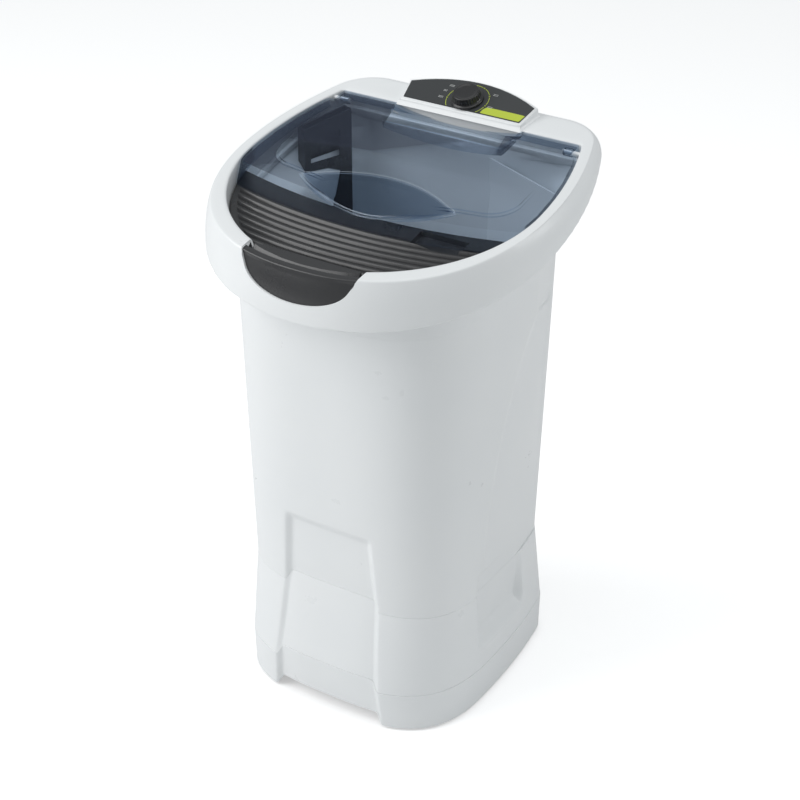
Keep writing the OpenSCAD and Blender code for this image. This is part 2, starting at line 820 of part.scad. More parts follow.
// The hollow at the back of the lid, which clears the timer knob when the lid stands open.
tab_half = 98;
tab_front = 80;
tab_depth = 11;
tab_rise = 7;
tab_r = (tab_half * tab_half + tab_depth * tab_depth) / (2 * tab_depth);
module lid_tab(t) {
    intersection() {
        translate([0, 0, -30]) linear_extrude(60) offset(r = 14, $fn = 40)
            polygon([
                [-tab_half + 8 - t, 200], [-tab_half + 20 - t, tab_front + 32 - t],
                [-tab_half + 50, tab_front + 14 - t], [tab_half - 50, tab_front + 14 - t],
                [tab_half - 20 + t, tab_front + 32 - t], [tab_half - 8 + t, 200]
            ]);
        translate([0, lid_back_y, lid_top + tab_r - tab_depth]) rotate([90 + tab_rise, 0, 0])
            cylinder(r = tab_r + t, h = 200, center = true, $fn = 360);
    }
}

module lid() color(smoke) placed() on_rim() {
    difference() {
        union() {
            difference() {
                lid_body();
                intersection() {
                    lid_space(lid_wall);
                    translate([-reach / 2, -reach / 2, lid_top - 60]) cube([reach, reach, 60 - lid_wall]);
                }
            }
            intersection() {
                lid_space(lid_wall / 2);
                union() {
                    intersection() {
                        lid_dish(lid_wall, lid_wall);
                        translate([-reach / 2, -reach / 2, lid_top - 20])
                            cube([reach, reach, 20 - lid_wall / 2]);
                    }
                    intersection() {
                        union() {
                            lid_scoop(lid_wall);
                            lid_tab(lid_wall);
                        }
                        translate([-reach / 2, -reach / 2, lid_top - 25])
                            cube([reach, reach, 25 - lid_wall / 2]);
                    }
                }
            }
            for (side = [-1, 1])
                translate([side > 0 ? hinge_half - 16 : -hinge_half + 4, hinge_y / cos(rim_tilt),
                    -hinge_drop])
                    rotate([0, 90, 0]) cylinder(d = hinge_pin_d + 5, h = 12, $fn = 48);
        }
        lid_dish(0, 0);
        lid_scoop(0);
        lid_tab(0);
        for (side = [-1, 1])
            translate([side > 0 ? hinge_half - 1 : -hinge_half - 29, hinge_y - 13, -40]) cube([30, 60, 60]);
        translate([-reach / 2, hinge_y / cos(rim_tilt), -hinge_drop])
            rotate([0, 90, 0]) cylinder(d = hinge_pin_d + 0.1, h = reach, $fn = 48);
    }
}

// Hinge pins, held in the rim's lip and free in the lid's bosses.
module hinge_pin(side) color(white) placed() {
    inner = hinge_half - 18;
    outer = hinge_half + 12;
    hinge_rod(hinge_pin_d, side > 0 ? inner : -outer, side > 0 ? outer : -inner);
}

// Washboard. Its ribs follow the lid's front edge.
board_gap = 1.5;
board_t = 3;
board_rear = -80;
board_deck = -max(board_drop + rib_h, lid_skirt + 0.6);
rib_first = -116;
rib_last = -206;
rib_w = 7.5;
rib_border = 9;

// Radius of the sweep arc that crosses the middle at y.
function arc_r(y) = sweep_y - y / cos(rim_tilt);

module board_space(d, low, high) {
    translate([0, 0, low]) linear_extrude(high - low) polygon(mouth_plan(d));
}

module behind_front(rear, low, high) {
    translate([0, sweep_y, low]) difference() {
        cylinder(r = arc_r(-rim_front - 20), h = high - low, $fn = 240);
        translate([0, 0, -1]) cylinder(r = arc_r(rear), h = high - low + 2, $fn = 240);
    }
}

module scrub_rib(y) {
    r = arc_r(y);
    translate([0, sweep_y, board_deck]) rotate_extrude($fn = 240)
        polygon([
            [r - rib_w / 2, -1], [r - rib_w / 2, 0.3], [r - rib_w / 2 + 1.6, rib_h - 0.8],
            [r - rib_w / 2 + 2.8, rib_h],
            [r + rib_w / 2 - 2.8, rib_h], [r + rib_w / 2 - 1.6, rib_h - 0.8], [r + rib_w / 2, 0.3],
            [r + rib_w / 2, -1]
        ]);
}

// The soap pocket in the right of the washboard.
soap_x = 80;
soap_w = 70;
soap_front = -114;
soap_l = 33;
soap_depth = 8;
// The apron that fills the hand notch, a little behind the rim's skin.
apron_in = 4;
apron_gap = 1.5;
// Depth of the apron's top edge under the rim's top plane.
apron_drop = 3;
module board_frame() {
    rotate([-rim_tilt, 0, 0]) translate([0, 0, -rim_h]) children();
}

// The apron's body in the rim's frame, moved in by d. It stops above the tub's ledge.
module apron_body(d) {
    difference() {
        intersection() {
            board_frame() loft(concat(
                [for (v = [0.27, 0.34, 0.44, 0.56, 0.68, 0.8]) skin_ring(v, apron_in + d)],
                [rim_ring(inset(land_outline, apron_in + d), d + apron_drop)]
            ));
            board_frame() notch_prism(-apron_gap - d);
            translate([-reach / 2, -reach, -reach]) cube([reach, reach - mouth_front + 12 + d, 2 * reach]);
        }
        translate([0, 0, -reach]) linear_extrude(reach - lip_depth + d) polygon(mouth_plan(-2.6 - d));
    }
}

module washboard() color(black) placed() on_rim() {
    difference() {
        union() {
            apron_body(0);
            intersection() {
                board_space(board_gap, -lip_depth, board_deck);
                behind_front(board_rear, -flange_drop - 1, 0);
            }
            intersection() {
                board_space(board_gap + rib_border, board_deck - 1, 0);
                union() for (i = [0:rib_count - 1])
                    scrub_rib(rib_first + (rib_last - rib_first) * i / (rib_count - 1));
            }
        }
        intersection() {
            board_space(board_gap + board_t, -flange_drop - 1, board_deck - board_t);
            behind_front(board_rear - board_t, -flange_drop - 2, 0);
            difference() {
                translate([-reach, -reach, -80]) cube([2 * reach, 2 * reach, 100]);
                translate([soap_x - board_t, soap_front - board_t, board_deck - soap_depth - board_t])
                    cube([soap_w + 2 * board_t, soap_l + 2 * board_t, 30]);
            }
        }
        translate([soap_x, soap_front, board_deck - soap_depth]) cube([soap_w, soap_l, 40]);
        apron_body(board_t);
    }
}

// Lint filter against the left of the back: a flat cassette with a window, open at the top.
filter_x = -182;
filter_y = 45;
filter_turn = 19.8;
filter_l = 80;
filter_t = 16;
filter_low = 600;
filter_drop = 9;
filter_wall = 3;
filter_room = 90;
window_l = 50;
window_h = 38;
module filter_block(low, from, l, t, inward) {
    translate([filter_x, filter_y, low]) rotate(-filter_turn) translate([-filter_t + inward, from, 0])
        cube([t, l, rim_h + 60 - low]);
}

module lint_filter() color(black) placed() {
    difference() {
        intersection() {
            tub_inside(0.5);
            filter_block(filter_low, 0, filter_l, filter_t, 0);
            on_rim() translate([-reach, -reach, -reach - filter_drop]) cube([2 * reach, 2 * reach, reach]);
        }
        filter_block(rim_h - filter_room, filter_wall, filter_l - 2 * filter_wall,
            filter_t - 2 * filter_wall, filter_wall);
        translate([filter_x, filter_y, rim_h - filter_drop - 6 - window_h]) rotate(-filter_turn)
            translate([-filter_wall - 1, 10, 0]) cube([filter_wall + 5, window_l, window_h]);
    }
}

// Flat cover over the wiring, across the right back corner of the tub.
duct_x = 62;
duct_y = 145;
duct_turn = 24;
duct_t = 2.5;
module wiring_duct() color(white) placed() {
    intersection() {
        tub_inside(fit);
        translate([duct_x, duct_y, floor_h + fit]) rotate(-duct_turn)
            translate([-30, -duct_t, 0]) cube([190, duct_t, rim_h - floor_h]);
        translate([-reach, -reach, floor_h]) cube([2 * reach, 2 * reach, rim_z(120) - lip_depth - floor_h]);
    }
}

// Control panel
panel_t = 1.2;
timer_neck_d = 12;
timer_shaft_d = 6;
timer_w = 72;
timer_l = 32;
timer_h = 30;
timer_screw_x = 29;

module timer_screw_places() {
    for (side = [-1, 1]) translate([side * timer_screw_x, knob_out, 0]) children();
}

module control_panel() color(charcoal) placed() {
    difference() {
        intersection() {
            linear_extrude(rim_h + 200) panel_plan(0);
            on_panel() translate([-reach / 2, -100, 0]) cube([reach, reach, panel_t]);
        }
        on_panel() translate([0, knob_out, -5]) cylinder(d = timer_neck_d + 1, h = 20, $fn = 48);
    }
}

knob_lift = panel_t + 0.5;
module timer_knob() color(black) placed() on_panel() translate([0, knob_out, knob_lift]) {
    difference() {
        rotate_extrude($fn = 96)
            polygon([
                [0, 0], [knob_d / 2 - 0.5, 0], [knob_d / 2, 0.6], [knob_d / 2, 2.4], [knob_d / 2 - 1, 3.2],
                [knob_d / 2 - 2.6, 3.6], [knob_d / 2 - 3.6, knob_h - 2.4], [knob_d / 2 - 4.4, knob_h - 0.8],
                [knob_d / 2 - 6, knob_h], [knob_d / 2 - 8, knob_h - 0.3], [0, knob_h - 1]
            ]);
        translate([0, 0, -1]) cylinder(d = timer_shaft_d + 0.02, h = knob_h - 3, $fn = 48);
        rotate_extrude($fn = 64)
            polygon([[timer_neck_d / 2 + 2, -1], [knob_d / 2 - 5.5, -1], [knob_d / 2 - 6, knob_h - 4],
                [timer_neck_d / 2 + 2, knob_h - 4]]);
    }
}

timer_top = -cover_wall;
module timer_shaft() color(steel) placed() on_panel() translate([0, knob_out, 0])
    translate([0, 0, timer_top - 12])
        cylinder(d = timer_shaft_d, h = knob_lift + knob_h - 5 - timer_top + 12, $fn = 48);

module timer_body() color(grey) placed() on_panel() translate([0, knob_out, 0]) {
    difference() {
        union() {
            translate([-timer_w / 2, -timer_l / 2, timer_top - timer_h]) cube([timer_w, timer_l, timer_h]);
            translate([0, 0, timer_top - 1]) cylinder(d = timer_neck_d, h = cover_wall + panel_t, $fn = 48);
        }
        translate([0, 0, timer_top - 13]) cylinder(d = timer_shaft_d + 0.1, h = 30, $fn = 48);
        for (side = [-1, 1])
            translate([side * timer_screw_x, 0, timer_top - 9]) cylinder(d = 3.2, h = 20, $fn = 32);
    }
}

module timer_screws() color(steel) placed() on_panel() timer_screw_places() {
    translate([0, 0, -1.5]) cylinder(d = 7.4, h = 1.4, $fn = 32);
    translate([0, 0, -11]) cylinder(d = 3.1, h = 10, $fn = 32);
}

// Impeller and its drive, all about the tub's axis.
hub_bore = 46;
shaft_fit = 0.05;
impeller_low = floor_h + 3;
impeller_edge = 5;
impeller_crown = 20;
vane_count = 6;
vane_h = 16;
module impeller() color(grey) placed() {
    r = impeller_d / 2;
    difference() {
        union() {
            translate([0, 0, impeller_low]) rotate_extrude($fn = 128)
                polygon([
                    [0, 0], [r - 2, 0], [r, 2], [r, impeller_edge], [r - 2, impeller_edge + 1.5],
                    [r * 0.7, impeller_edge + 3], [r * 0.4, impeller_edge + 7], [r * 0.22, impeller_crown],
                    [r * 0.14, impeller_crown + 6], [0, impeller_crown + 6]
                ]);
            intersection() {
                translate([0, 0, impeller_low]) rotate_extrude($fn = 128)
                    polygon([
                        [0, 2], [r - 4, 2], [r - 7, impeller_edge + vane_h * 0.5],
                        [r * 0.75, impeller_edge + vane_h],
                        [r * 0.35, impeller_edge + vane_h + 3], [0, impeller_crown + 3]
                    ]);
                for (i = [0:vane_count - 1]) rotate(i * 360 / vane_count) translate([0, 0, impeller_low])
                    linear_extrude(60) polygon([[0, -9], [r, -5], [r, 5], [0, 9]]);
            }
        }
        translate([0, 0, impeller_low - 1]) cylinder(d = shaft_d + 0.02, h = impeller_crown - 1, $fn = 64);
        translate([0, 0, impeller_low - 1]) cylinder(d = 6.4, h = 60, $fn = 32);
        translate([0, 0, impeller_low + impeller_crown + 2]) cylinder(d = 16, h = 10, $fn = 48);
        difference() {
            translate([0, 0, impeller_low - 1]) cylinder(d = 2 * r - 12, h = 4, $fn = 96);
            translate([0, 0, impeller_low - 2]) cylinder(d = hub_bore + 12, h = 8, $fn = 64);
        }
    }
}

shaft_low = belt_z - 22;
shaft_high = impeller_low + impeller_crown - 2.5;
module impeller_shaft() color(steel) placed() difference() {
    translate([0, 0, shaft_low]) cylinder(d = shaft_d, h = shaft_high - shaft_low, $fn = 64);
    translate([0, 0, shaft_high - 14]) cylinder(d = 5.1, h = 20, $fn = 32);
}

module impeller_screw() color(steel) placed() {
    translate([0, 0, impeller_low + impeller_crown + 2]) cylinder(d = 13, h = 3.5, $fn = 6);
    translate([0, 0, shaft_high - 12])
        cylinder(d = 5, h = impeller_crown + 4.5 + impeller_low - shaft_high + 10, $fn = 32);
}

// Bearing housing under the tub's floor, with its bushes and seal.
housing_top = floor_h - hub_boss_t;
housing_low = 172;
bush_d = 22;
bush_h = 22;
seal_h = 8;
housing_screw_r = 50;
module housing_screw_places() {
    for (i = [0:3]) rotate(45 + motor_turn + i * 90) translate([housing_screw_r, 0, 0]) children();
}

module bearing_housing() color(paint) placed() {
    difference() {
        union() {
            rotate_extrude($fn = 96)
                polygon([
                    [0, housing_low], [16, housing_low], [18, housing_low + 2], [20, housing_top - 34],
                    [30, housing_top - 10], [30, housing_top - 5], [hub_boss_d / 2 - 6, housing_top - 5],
                    [hub_boss_d / 2 - 6, housing_top], [hub_bore / 2 - fit, housing_top],
                    [hub_bore / 2 - fit, floor_h - 1], [0, floor_h - 1]
                ]);
            for (i = [0:3]) rotate(motor_turn + i * 90) translate([17, -2, housing_top - 30])
                rotate([90, 0, 90]) linear_extrude(38) polygon([[0, 0], [4, 0], [4, 27], [0, 27]]);
        }
        translate([0, 0, housing_low - 1]) cylinder(d = shaft_d + 3, h = 200, $fn = 64);
        translate([0, 0, housing_low - 1]) cylinder(d = bush_d, h = bush_h + 1, $fn = 64);
        translate([0, 0, floor_h - 1 - seal_h - bush_h])
            cylinder(d = bush_d, h = bush_h + seal_h + 2, $fn = 64);
        housing_screw_places() translate([0, 0, housing_top - 20]) cylinder(d = 5, h = 40, $fn = 32);
    }
}

module bush(z) {
    translate([0, 0, z]) difference() {
        cylinder(d = bush_d - 0.02, h = bush_h, $fn = 64);
        translate([0, 0, -1]) cylinder(d = shaft_d + 2 * shaft_fit, h = bush_h + 2, $fn = 64);
    }
}

module upper_bush() color(brass) placed() bush(floor_h - 1 - seal_h - bush_h);
module lower_bush() color(brass) placed() bush(housing_low);

module shaft_seal() color(rubber) placed() translate([0, 0, floor_h - 1 - seal_h]) difference() {
    cylinder(d = bush_d - 0.02, h = seal_h, $fn = 64);
    translate([0, 0, -1]) cylinder(d = shaft_d + 2 * shaft_fit, h = seal_h + 2, $fn = 64);
    translate([0, 0, seal_h - 2]) cylinder(d = shaft_d + 4, h = 5, $fn = 64);
}

module housing_screws() color(steel) placed() housing_screw_places() screw_up(housing_top - 5, 4.1, 11, 9);

// Belt drive. The large pulley and the motor pulley share the belt's plane.
belt_w = 9;
belt_t = 3;
belt_gap = 0.35;
rim_lip = 3;
drive_distance = 108;
motor_turn = 40;
groove = pulley_d / 2 - rim_lip;
motor_groove = motor_pulley_d / 2 - rim_lip;

module at_motor() {
    rotate(motor_turn) translate([drive_distance, 0, 0]) children();
}

module large_pulley() color(grey) placed() translate([0, 0, belt_z]) {
    difference() {
        rotate_extrude($fn = 128)
            polygon([
                [0, -14], [13, -14], [14, -3], [groove - 5, -2], [groove - 5, -belt_w / 2 - 3],
                [pulley_d / 2, -belt_w / 2 - 3], [pulley_d / 2, -belt_w / 2 - 1.2],
                [groove, -belt_w / 2 - 0.5],
                [groove, belt_w / 2 + 0.5], [pulley_d / 2, belt_w / 2 + 1.2], [pulley_d / 2, belt_w / 2 + 3],
                [groove - 5, belt_w / 2 + 3], [groove - 5, 2], [14, 3], [13, 24], [0, 24]
            ]);
        translate([0, 0, -20]) cylinder(d = shaft_d + 0.02, h = 60, $fn = 64);
        for (i = [0:4]) rotate(i * 72) translate([(groove + 10) / 2, 0, -20])
            cylinder(d = 30, h = 60, $fn = 48);
    }
}

module pulley_nut() color(steel) placed() translate([0, 0, belt_z - 14 - 6]) difference() {
    cylinder(d = 19, h = 6, $fn = 6);
    translate([0, 0, -1]) cylinder(d = shaft_d + 0.02, h = 8, $fn = 48);
}

// The belt's outline, grown by d from the pulleys' grooves.
belt_steps = 60;
function arc(x, r, from, to, n) = [for (i = [0:n])
    let (t = from + (to - from) * i / n)
    [x + r * cos(t), r * sin(t)]];
function belt_outline(d) =
    let (big = groove + d, small = motor_groove + d, lead = acos((big - small) / drive_distance))
    concat(
        arc(0, big, lead, 360 - lead, belt_steps),
        arc(drive_distance, small, -lead, lead, belt_steps / 3)
    );

module drive_belt() color(rubber) placed() rotate(motor_turn) translate([0, 0, belt_z - belt_w / 2])
    difference() {
        linear_extrude(belt_w) polygon(belt_outline(belt_gap + belt_t));
        translate([0, 0, -1]) linear_extrude(belt_w + 2) polygon(belt_outline(belt_gap));
    }

motor_shaft_d = 10;
motor_low = belt_z + 22;
cap_h = 18;
motor_h = 78;
plate_t = 3;
motor_top = motor_low + cap_h + motor_h + plate_t;
rotor_d = 58;
module motor_pulley() color(steel) placed() at_motor() translate([0, 0, belt_z]) difference() {
    rotate_extrude($fn = 64)
        polygon([
            [0, -belt_w / 2 - 3], [motor_pulley_d / 2, -belt_w / 2 - 3],
            [motor_pulley_d / 2, -belt_w / 2 - 1.2],
            [motor_groove, -belt_w / 2 - 0.5], [motor_groove, belt_w / 2 + 0.5],
            [motor_pulley_d / 2, belt_w / 2 + 1.2], [motor_pulley_d / 2, belt_w / 2 + 3],
            [motor_pulley_d / 2 - 5, belt_w / 2 + 3], [motor_pulley_d / 2 - 5, belt_w / 2 + 11],
            [0, belt_w / 2 + 11]
        ]);
    translate([0, 0, -20]) cylinder(d = motor_shaft_d + 0.02, h = 60, $fn = 48);
}

module motor_shaft() color(steel) placed() at_motor()
    translate([0, 0, belt_z - 10])
        cylinder(d = motor_shaft_d, h = motor_low + cap_h + motor_h - 4 - belt_z + 10, $fn = 48);

rotor_low = motor_low + cap_h + 6;
rotor_h = 50;
module motor_rotor() color(steel) placed() at_motor() translate([0, 0, rotor_low]) difference() {
    cylinder(d = rotor_d, h = rotor_h, $fn = 96);
    translate([0, 0, -1]) cylinder(d = motor_shaft_d + 0.02, h = rotor_h + 2, $fn = 48);
}

module motor_fan() color(black) placed() at_motor() translate([0, 0, motor_low + 8.8]) difference() {
    union() {
        cylinder(d = 24, h = 11, $fn = 48);
        cylinder(d = 78, h = 2, $fn = 96);
        for (i = [0:7]) rotate(i * 45) translate([11, -1, 0]) cube([26, 2, 11]);
    }
    translate([0, 0, -1]) cylinder(d = motor_shaft_d + 0.02, h = 20, $fn = 48);
}

module motor_case() color(steel) placed() at_motor() translate([0, 0, motor_low + cap_h]) difference() {
    cylinder(d = motor_d, h = motor_h, $fn = 128);
    translate([0, 0, -1]) cylinder(d = motor_d - 8, h = 5, $fn = 96);
    translate([0, 0, -1]) cylinder(d = rotor_d + 1, h = motor_h - 13, $fn = 96);
    cylinder(d = motor_shaft_d + 2 * shaft_fit, h = motor_h + 1, $fn = 48);
    for (i = [0:11]) rotate(i * 30) translate([motor_d / 2 - 3, -3, 14]) cube([8, 6, motor_h - 28]);
}

module motor_end_cap() color(steel) placed() at_motor() translate([0, 0, motor_low]) difference() {
    rotate_extrude($fn = 128)
        polygon([
            [0, 0], [16, 0], [18, 2], [motor_d / 2 - 6, 4], [motor_d / 2, 10], [motor_d / 2, cap_h],
            [motor_d / 2 - 4, cap_h], [motor_d / 2 - 6, 8], [16, 4], [0, 4]
        ]);
    translate([0, 0, -1]) cylinder(d = motor_shaft_d + 2 * shaft_fit, h = 20, $fn = 48);
    for (i = [0:7]) rotate(22.5 + i * 45) translate([26, -3, -1]) cube([16, 6, 9]);
}

// The motor hangs from an eared plate under four posts.
post_r = motor_d / 2 + 6.3;
post_angle = 49;
ear_r = 9;
module motor_posts() {
    at_motor() for (a = [-1, 1], b = [0, 180]) rotate(a * post_angle + b) translate([post_r, 0, 0])
        children();
}

module motor_plate() color(steel) placed() difference() {
    union() {
        at_motor() translate([0, 0, motor_top - plate_t])
            cylinder(r = motor_d / 2 + 1, h = plate_t, $fn = 96);
        motor_posts() translate([0, 0, motor_top - plate_t]) cylinder(r = ear_r, h = plate_t, $fn = 48);
    }
    motor_posts() translate([0, 0, motor_top - 10]) cylinder(d = 6, h = 20, $fn = 32);
    at_motor() translate([0, 0, motor_top - 10]) cylinder(d = 24, h = 20, $fn = 48);
}

module motor_bolts() color(steel) placed() motor_posts() screw_up(motor_top - plate_t, 4.9, 24, 11);

// Run capacitor in a cup under the tub's floor.
capacitor_x = -60;
capacitor_y = -112;
capacitor_d = 40;
capacitor_h = 74;
clip_screw_y = 29;
clip_t = 3;
module capacitor() color(grey) placed()
    translate([capacitor_x, capacitor_y, floor_h - floor_t - 4 - capacitor_h]) {
    rotate_extrude($fn = 64)
        polygon([
            [0, 0], [capacitor_d / 2 - 2, 0], [capacitor_d / 2, 2], [capacitor_d / 2, capacitor_h],
            [0, capacitor_h]
        ]);
    for (x = [-7, 7]) translate([x - 3, -0.5, -9]) cube([6, 1, 10]);
}

module capacitor_clip() color(black) placed() translate([capacitor_x, capacitor_y, floor_h - floor_t])
    difference() {
    union() {
        translate([0, 0, -34]) cylinder(d = capacitor_d + 5.1, h = 34, $fn = 64);
        translate([-10, 0, -clip_t]) cube([20, clip_screw_y + 7, clip_t]);
    }
    translate([0, 0, -38]) cylinder(d = capacitor_d + 0.1, h = 34, $fn = 64);
    translate([0, clip_screw_y, -10]) cylinder(d = 3.6, h = 20, $fn = 32);
}

module clip_screw() color(steel) placed()
    translate([capacitor_x, capacitor_y + clip_screw_y, 0]) screw_up(floor_h - floor_t - clip_t, 3.1, 5.5, 7);

// Drain: a screen in the floor, an elbow, a tube and a spigot through the back.
drain_x = -86;
drain_y = -20;
drain_bore = 40;
drain_pipe = 24;
drain_bend = 22;
elbow_z = floor_h - hub_boss_t - 4 - drain_bend - 6;
slot_reach = 15;
module drain_screen() color(grey) placed() translate([drain_x, drain_y, floor_h]) difference() {
    union() {
        cylinder(d = drain_bore + 16, h = 2.5, $fn = 64);
        translate([0, 0, -8]) difference() {
            cylinder(d = drain_bore - 2 * fit, h = 9, $fn = 64);
            translate([0, 0, -1]) cylinder(d = drain_bore - 6, h = 15, $fn = 64);
        }
    }
    for (i = [-3:3]) let (half = sqrt(pow(slot_reach, 2) - pow(4 * i, 2)))
        translate([4 * i - 1, -half, -1]) cube([2, 2 * half, 8]);
}

module elbow_bend(d) {
    translate([0, drain_bend, elbow_z + drain_bend]) rotate([90, 0, 90]) rotate(180)
        rotate_extrude(angle = 90, $fn = 96) translate([drain_bend, 0]) circle(d = d, $fn = 48);
}

module drain_elbow() color(grey) placed() translate([drain_x, drain_y, 0]) difference() {
    union() {
        translate([0, 0, floor_h - hub_boss_t - 4]) cylinder(d = drain_bore + 14, h = 4, $fn = 64);
        translate([0, 0, elbow_z + drain_bend - 1])
            cylinder(d = drain_pipe + 8, h = floor_h - hub_boss_t - 2 - elbow_z - drain_bend, $fn = 48);
        elbow_bend(drain_pipe + 6);
        translate([0, drain_bend - 1, elbow_z]) rotate([-90, 0, 0])
            cylinder(d = drain_pipe, h = 14, $fn = 48);
    }
    translate([0, 0, elbow_z + drain_bend - 0.5]) cylinder(d = drain_pipe - 3, h = 60, $fn = 48);
    elbow_bend(drain_pipe - 4);
    translate([0, drain_bend - 0.5, elbow_z]) rotate([-90, 0, 0])
        cylinder(d = drain_pipe - 5, h = 60, $fn = 48);
}

// Places on the straight back of the base.
back_lean = atan((base_back - neck_back) / (neck_h - base_h));
function back_y(z) = base_back - (z - base_h) * tan(back_lean);
access_w = 130;
access_h = 74;
access_z = 124;
module on_back() {
    translate([0, back_y(access_z), access_z]) rotate([90 + back_lean, 0, 0]) mirror([0, 0, 1]) children();
}

module access_screw_places() {
    for (x = [-1, 1], y = [-1, 1]) translate([x * (access_w / 2 + 8), y * (access_h / 2 - 6), 0]) children();
}

module rear_cover() color(white) placed() on_back() difference() {
    union() {
        translate([-access_w / 2 - 15, -access_h / 2 - 7, 0]) cube([access_w + 30, access_h + 14, 2.5]);
        translate([-access_w / 2 + fit, -access_h / 2 + fit, -2])
            cube([access_w - 2 * fit, access_h - 2 * fit, 3]);
    }
    for (i = [0:6]) translate([-40, -access_h / 2 + 12 + i * 8, -10]) cube([80, 3.5, 20]);
    access_screw_places() translate([0, 0, -5]) cylinder(d = 4, h = 20, $fn = 32);
}

module rear_cover_screws() color(steel) placed() on_back() access_screw_places() screw(2.5, 3.1, 9, 7);

module back_bore(x, z, d) {
    translate([x, back_y(z) - 20, z]) rotate([-90, 0, 0]) cylinder(d = d, h = 40, $fn = 48);
}

gland_x = 108;
gland_z = 110;
gland_d = 16;
cord_d = 8;
module cord_gland() color(black) placed() translate([gland_x, back_y(gland_z), gland_z]) rotate([-90, 0, 0])
    difference() {
        union() {
            translate([0, 0, 1.5]) cylinder(d = 22, h = 3, $fn = 48);
            translate([0, 0, -10]) cylinder(d = gland_d - 0.4, h = 13, $fn = 48);
            translate([0, 0, 4]) cylinder(d1 = 18, d2 = 13, h = 8, $fn = 48);
        }
        translate([0, 0, -20]) cylinder(d = cord_d, h = 60, $fn = 48);
    }

spigot_x = -106;
spigot_z = 108;
spigot_d = 22;
// How far the spigot reaches in behind the wall, into the tube's straight end.
spigot_reach = 24;
spigot_neck_d = 26;
module drain_spigot() color(black) placed() translate([spigot_x, back_y(spigot_z), spigot_z])
    rotate([-90, 0, 0])
    difference() {
        union() {
            translate([0, 0, 2.4]) cylinder(d = 38, h = 3.6, $fn = 64);
            translate([0, 0, -spigot_reach]) cylinder(d = spigot_neck_d - 0.4, h = spigot_reach + 3, $fn = 64);
            translate([0, 0, 5]) cylinder(d = spigot_d, h = 30, $fn = 64);
        }
        translate([0, 0, -30]) cylinder(d = spigot_d - 5, h = 80, $fn = 64);
    }

// The inner drain tube, from the elbow down to the spigot.
tube_sides = 12;
tube_steps = 16;
tube_start = [drain_x, drain_y + drain_bend + 9, elbow_z];
tube_end = [spigot_x, back_y(spigot_z) - 12, spigot_z];
tube_straight = 14;
tube_turn = tube_end - [0, tube_straight, 0];
tube_pull = 78;
function bezier(a, b, c, d, t) =
    a * pow(1 - t, 3) + 3 * b * pow(1 - t, 2) * t + 3 * c * (1 - t) * t * t + d * pow(t, 3);
function tube_point(t) =
    bezier(tube_start, tube_start + [0, tube_pull, 0], tube_turn - [0, tube_pull, 0], tube_turn, t);
function unit(v) = v / norm(v);
function tube_ring(t, r) =
    let (
        p = tube_point(t),
        ahead = t <= 0 || t >= 1 ? [0, 1, 0] : unit(tube_point(t + 0.01) - tube_point(t - 0.01)),
        side = unit(cross(ahead, [1, 0, 0])),
        other = cross(ahead, side)
    )
    [for (j = [0:tube_sides - 1]) let (a = j * 360 / tube_sides) p + r * (cos(a) * side + sin(a) * other)];

// A sweep of radius r along the tube, run on by extra at both ends.
module tube_sweep(r, extra) {
    loft(concat(
        [[for (p = tube_ring(0, r)) p - [0, extra, 0]]],
        [for (i = [1:tube_steps]) tube_ring(i / tube_steps, r)],
        [[for (p = tube_ring(1, r)) p + [0, tube_straight + extra, 0]]]
    ));
}

module drain_tube() color(black) placed() difference() {
    tube_sweep(drain_pipe / 2 + 3.8, 0);
    tube_sweep(drain_pipe / 2 + 1.3, 1);
}

top_cover();
wash_tub();
base_housing();
plinth();
base_pan();
foot(3);  // foot_front_left
foot(0);  // foot_front_right
foot(2);  // foot_back_left
foot(1);  // foot_back_right
lid();
hinge_pin(-1);  // hinge_pin_left
hinge_pin(1);  // hinge_pin_right
washboard();
lint_filter();
wiring_duct();
control_panel();
timer_knob();
timer_shaft();
timer_body();
timer_screws();
impeller();
impeller_shaft();
impeller_screw();
shaft_seal();
bearing_housing();
upper_bush();
lower_bush();
housing_screws();
large_pulley();
pulley_nut();
drive_belt();
motor_pulley();
motor_shaft();
motor_rotor();
motor_fan();
motor_case();
motor_end_cap();
motor_plate();
motor_bolts();
capacitor();
capacitor_clip();
clip_screw();
drain_elbow();
drain_tube();
drain_spigot();
drain_screen();
cord_gland();
rear_cover();
rear_cover_screws();
base_screws();
pan_screws();
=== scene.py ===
"""Compact top-loading tub washer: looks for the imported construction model.

Every length is in millimetres until a mesh is made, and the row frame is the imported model's:
X across the machine, -Y to the front, Z up, the floor at zero.
"""
import logging
import math
from dataclasses import dataclass, fields, replace
from enum import Enum

import bpy
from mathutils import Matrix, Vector


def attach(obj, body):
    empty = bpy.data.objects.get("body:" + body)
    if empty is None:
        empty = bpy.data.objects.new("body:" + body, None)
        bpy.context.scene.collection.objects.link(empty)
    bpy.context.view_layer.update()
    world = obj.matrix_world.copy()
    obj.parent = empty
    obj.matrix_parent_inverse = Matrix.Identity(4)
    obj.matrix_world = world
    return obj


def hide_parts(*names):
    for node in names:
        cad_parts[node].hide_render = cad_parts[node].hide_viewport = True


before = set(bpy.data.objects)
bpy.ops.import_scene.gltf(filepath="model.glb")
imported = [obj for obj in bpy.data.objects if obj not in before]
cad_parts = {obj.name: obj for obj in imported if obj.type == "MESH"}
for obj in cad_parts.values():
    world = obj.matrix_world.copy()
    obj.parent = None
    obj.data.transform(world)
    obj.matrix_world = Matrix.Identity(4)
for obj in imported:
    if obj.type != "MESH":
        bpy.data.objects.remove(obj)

LOG = logging.getLogger("washer")
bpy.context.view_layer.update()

MM = 0.001
AXIS_Y = 23.5
TILT = math.radians(9.5)
SCOOP_Y, SCOOP_SAG, SCOOP_ARC = -56.0, 41.0, 196.0
# Widths in metres of the painted shade inside the lid's finger scoop and of the painted highlight lines
# along the scoop's edge.
SCOOP_SHADE_FADE, HIGHLIGHT_HALF, HIGHLIGHT_FADE = 0.004, 0.0011, 0.0006
Point = tuple[float, float, float]


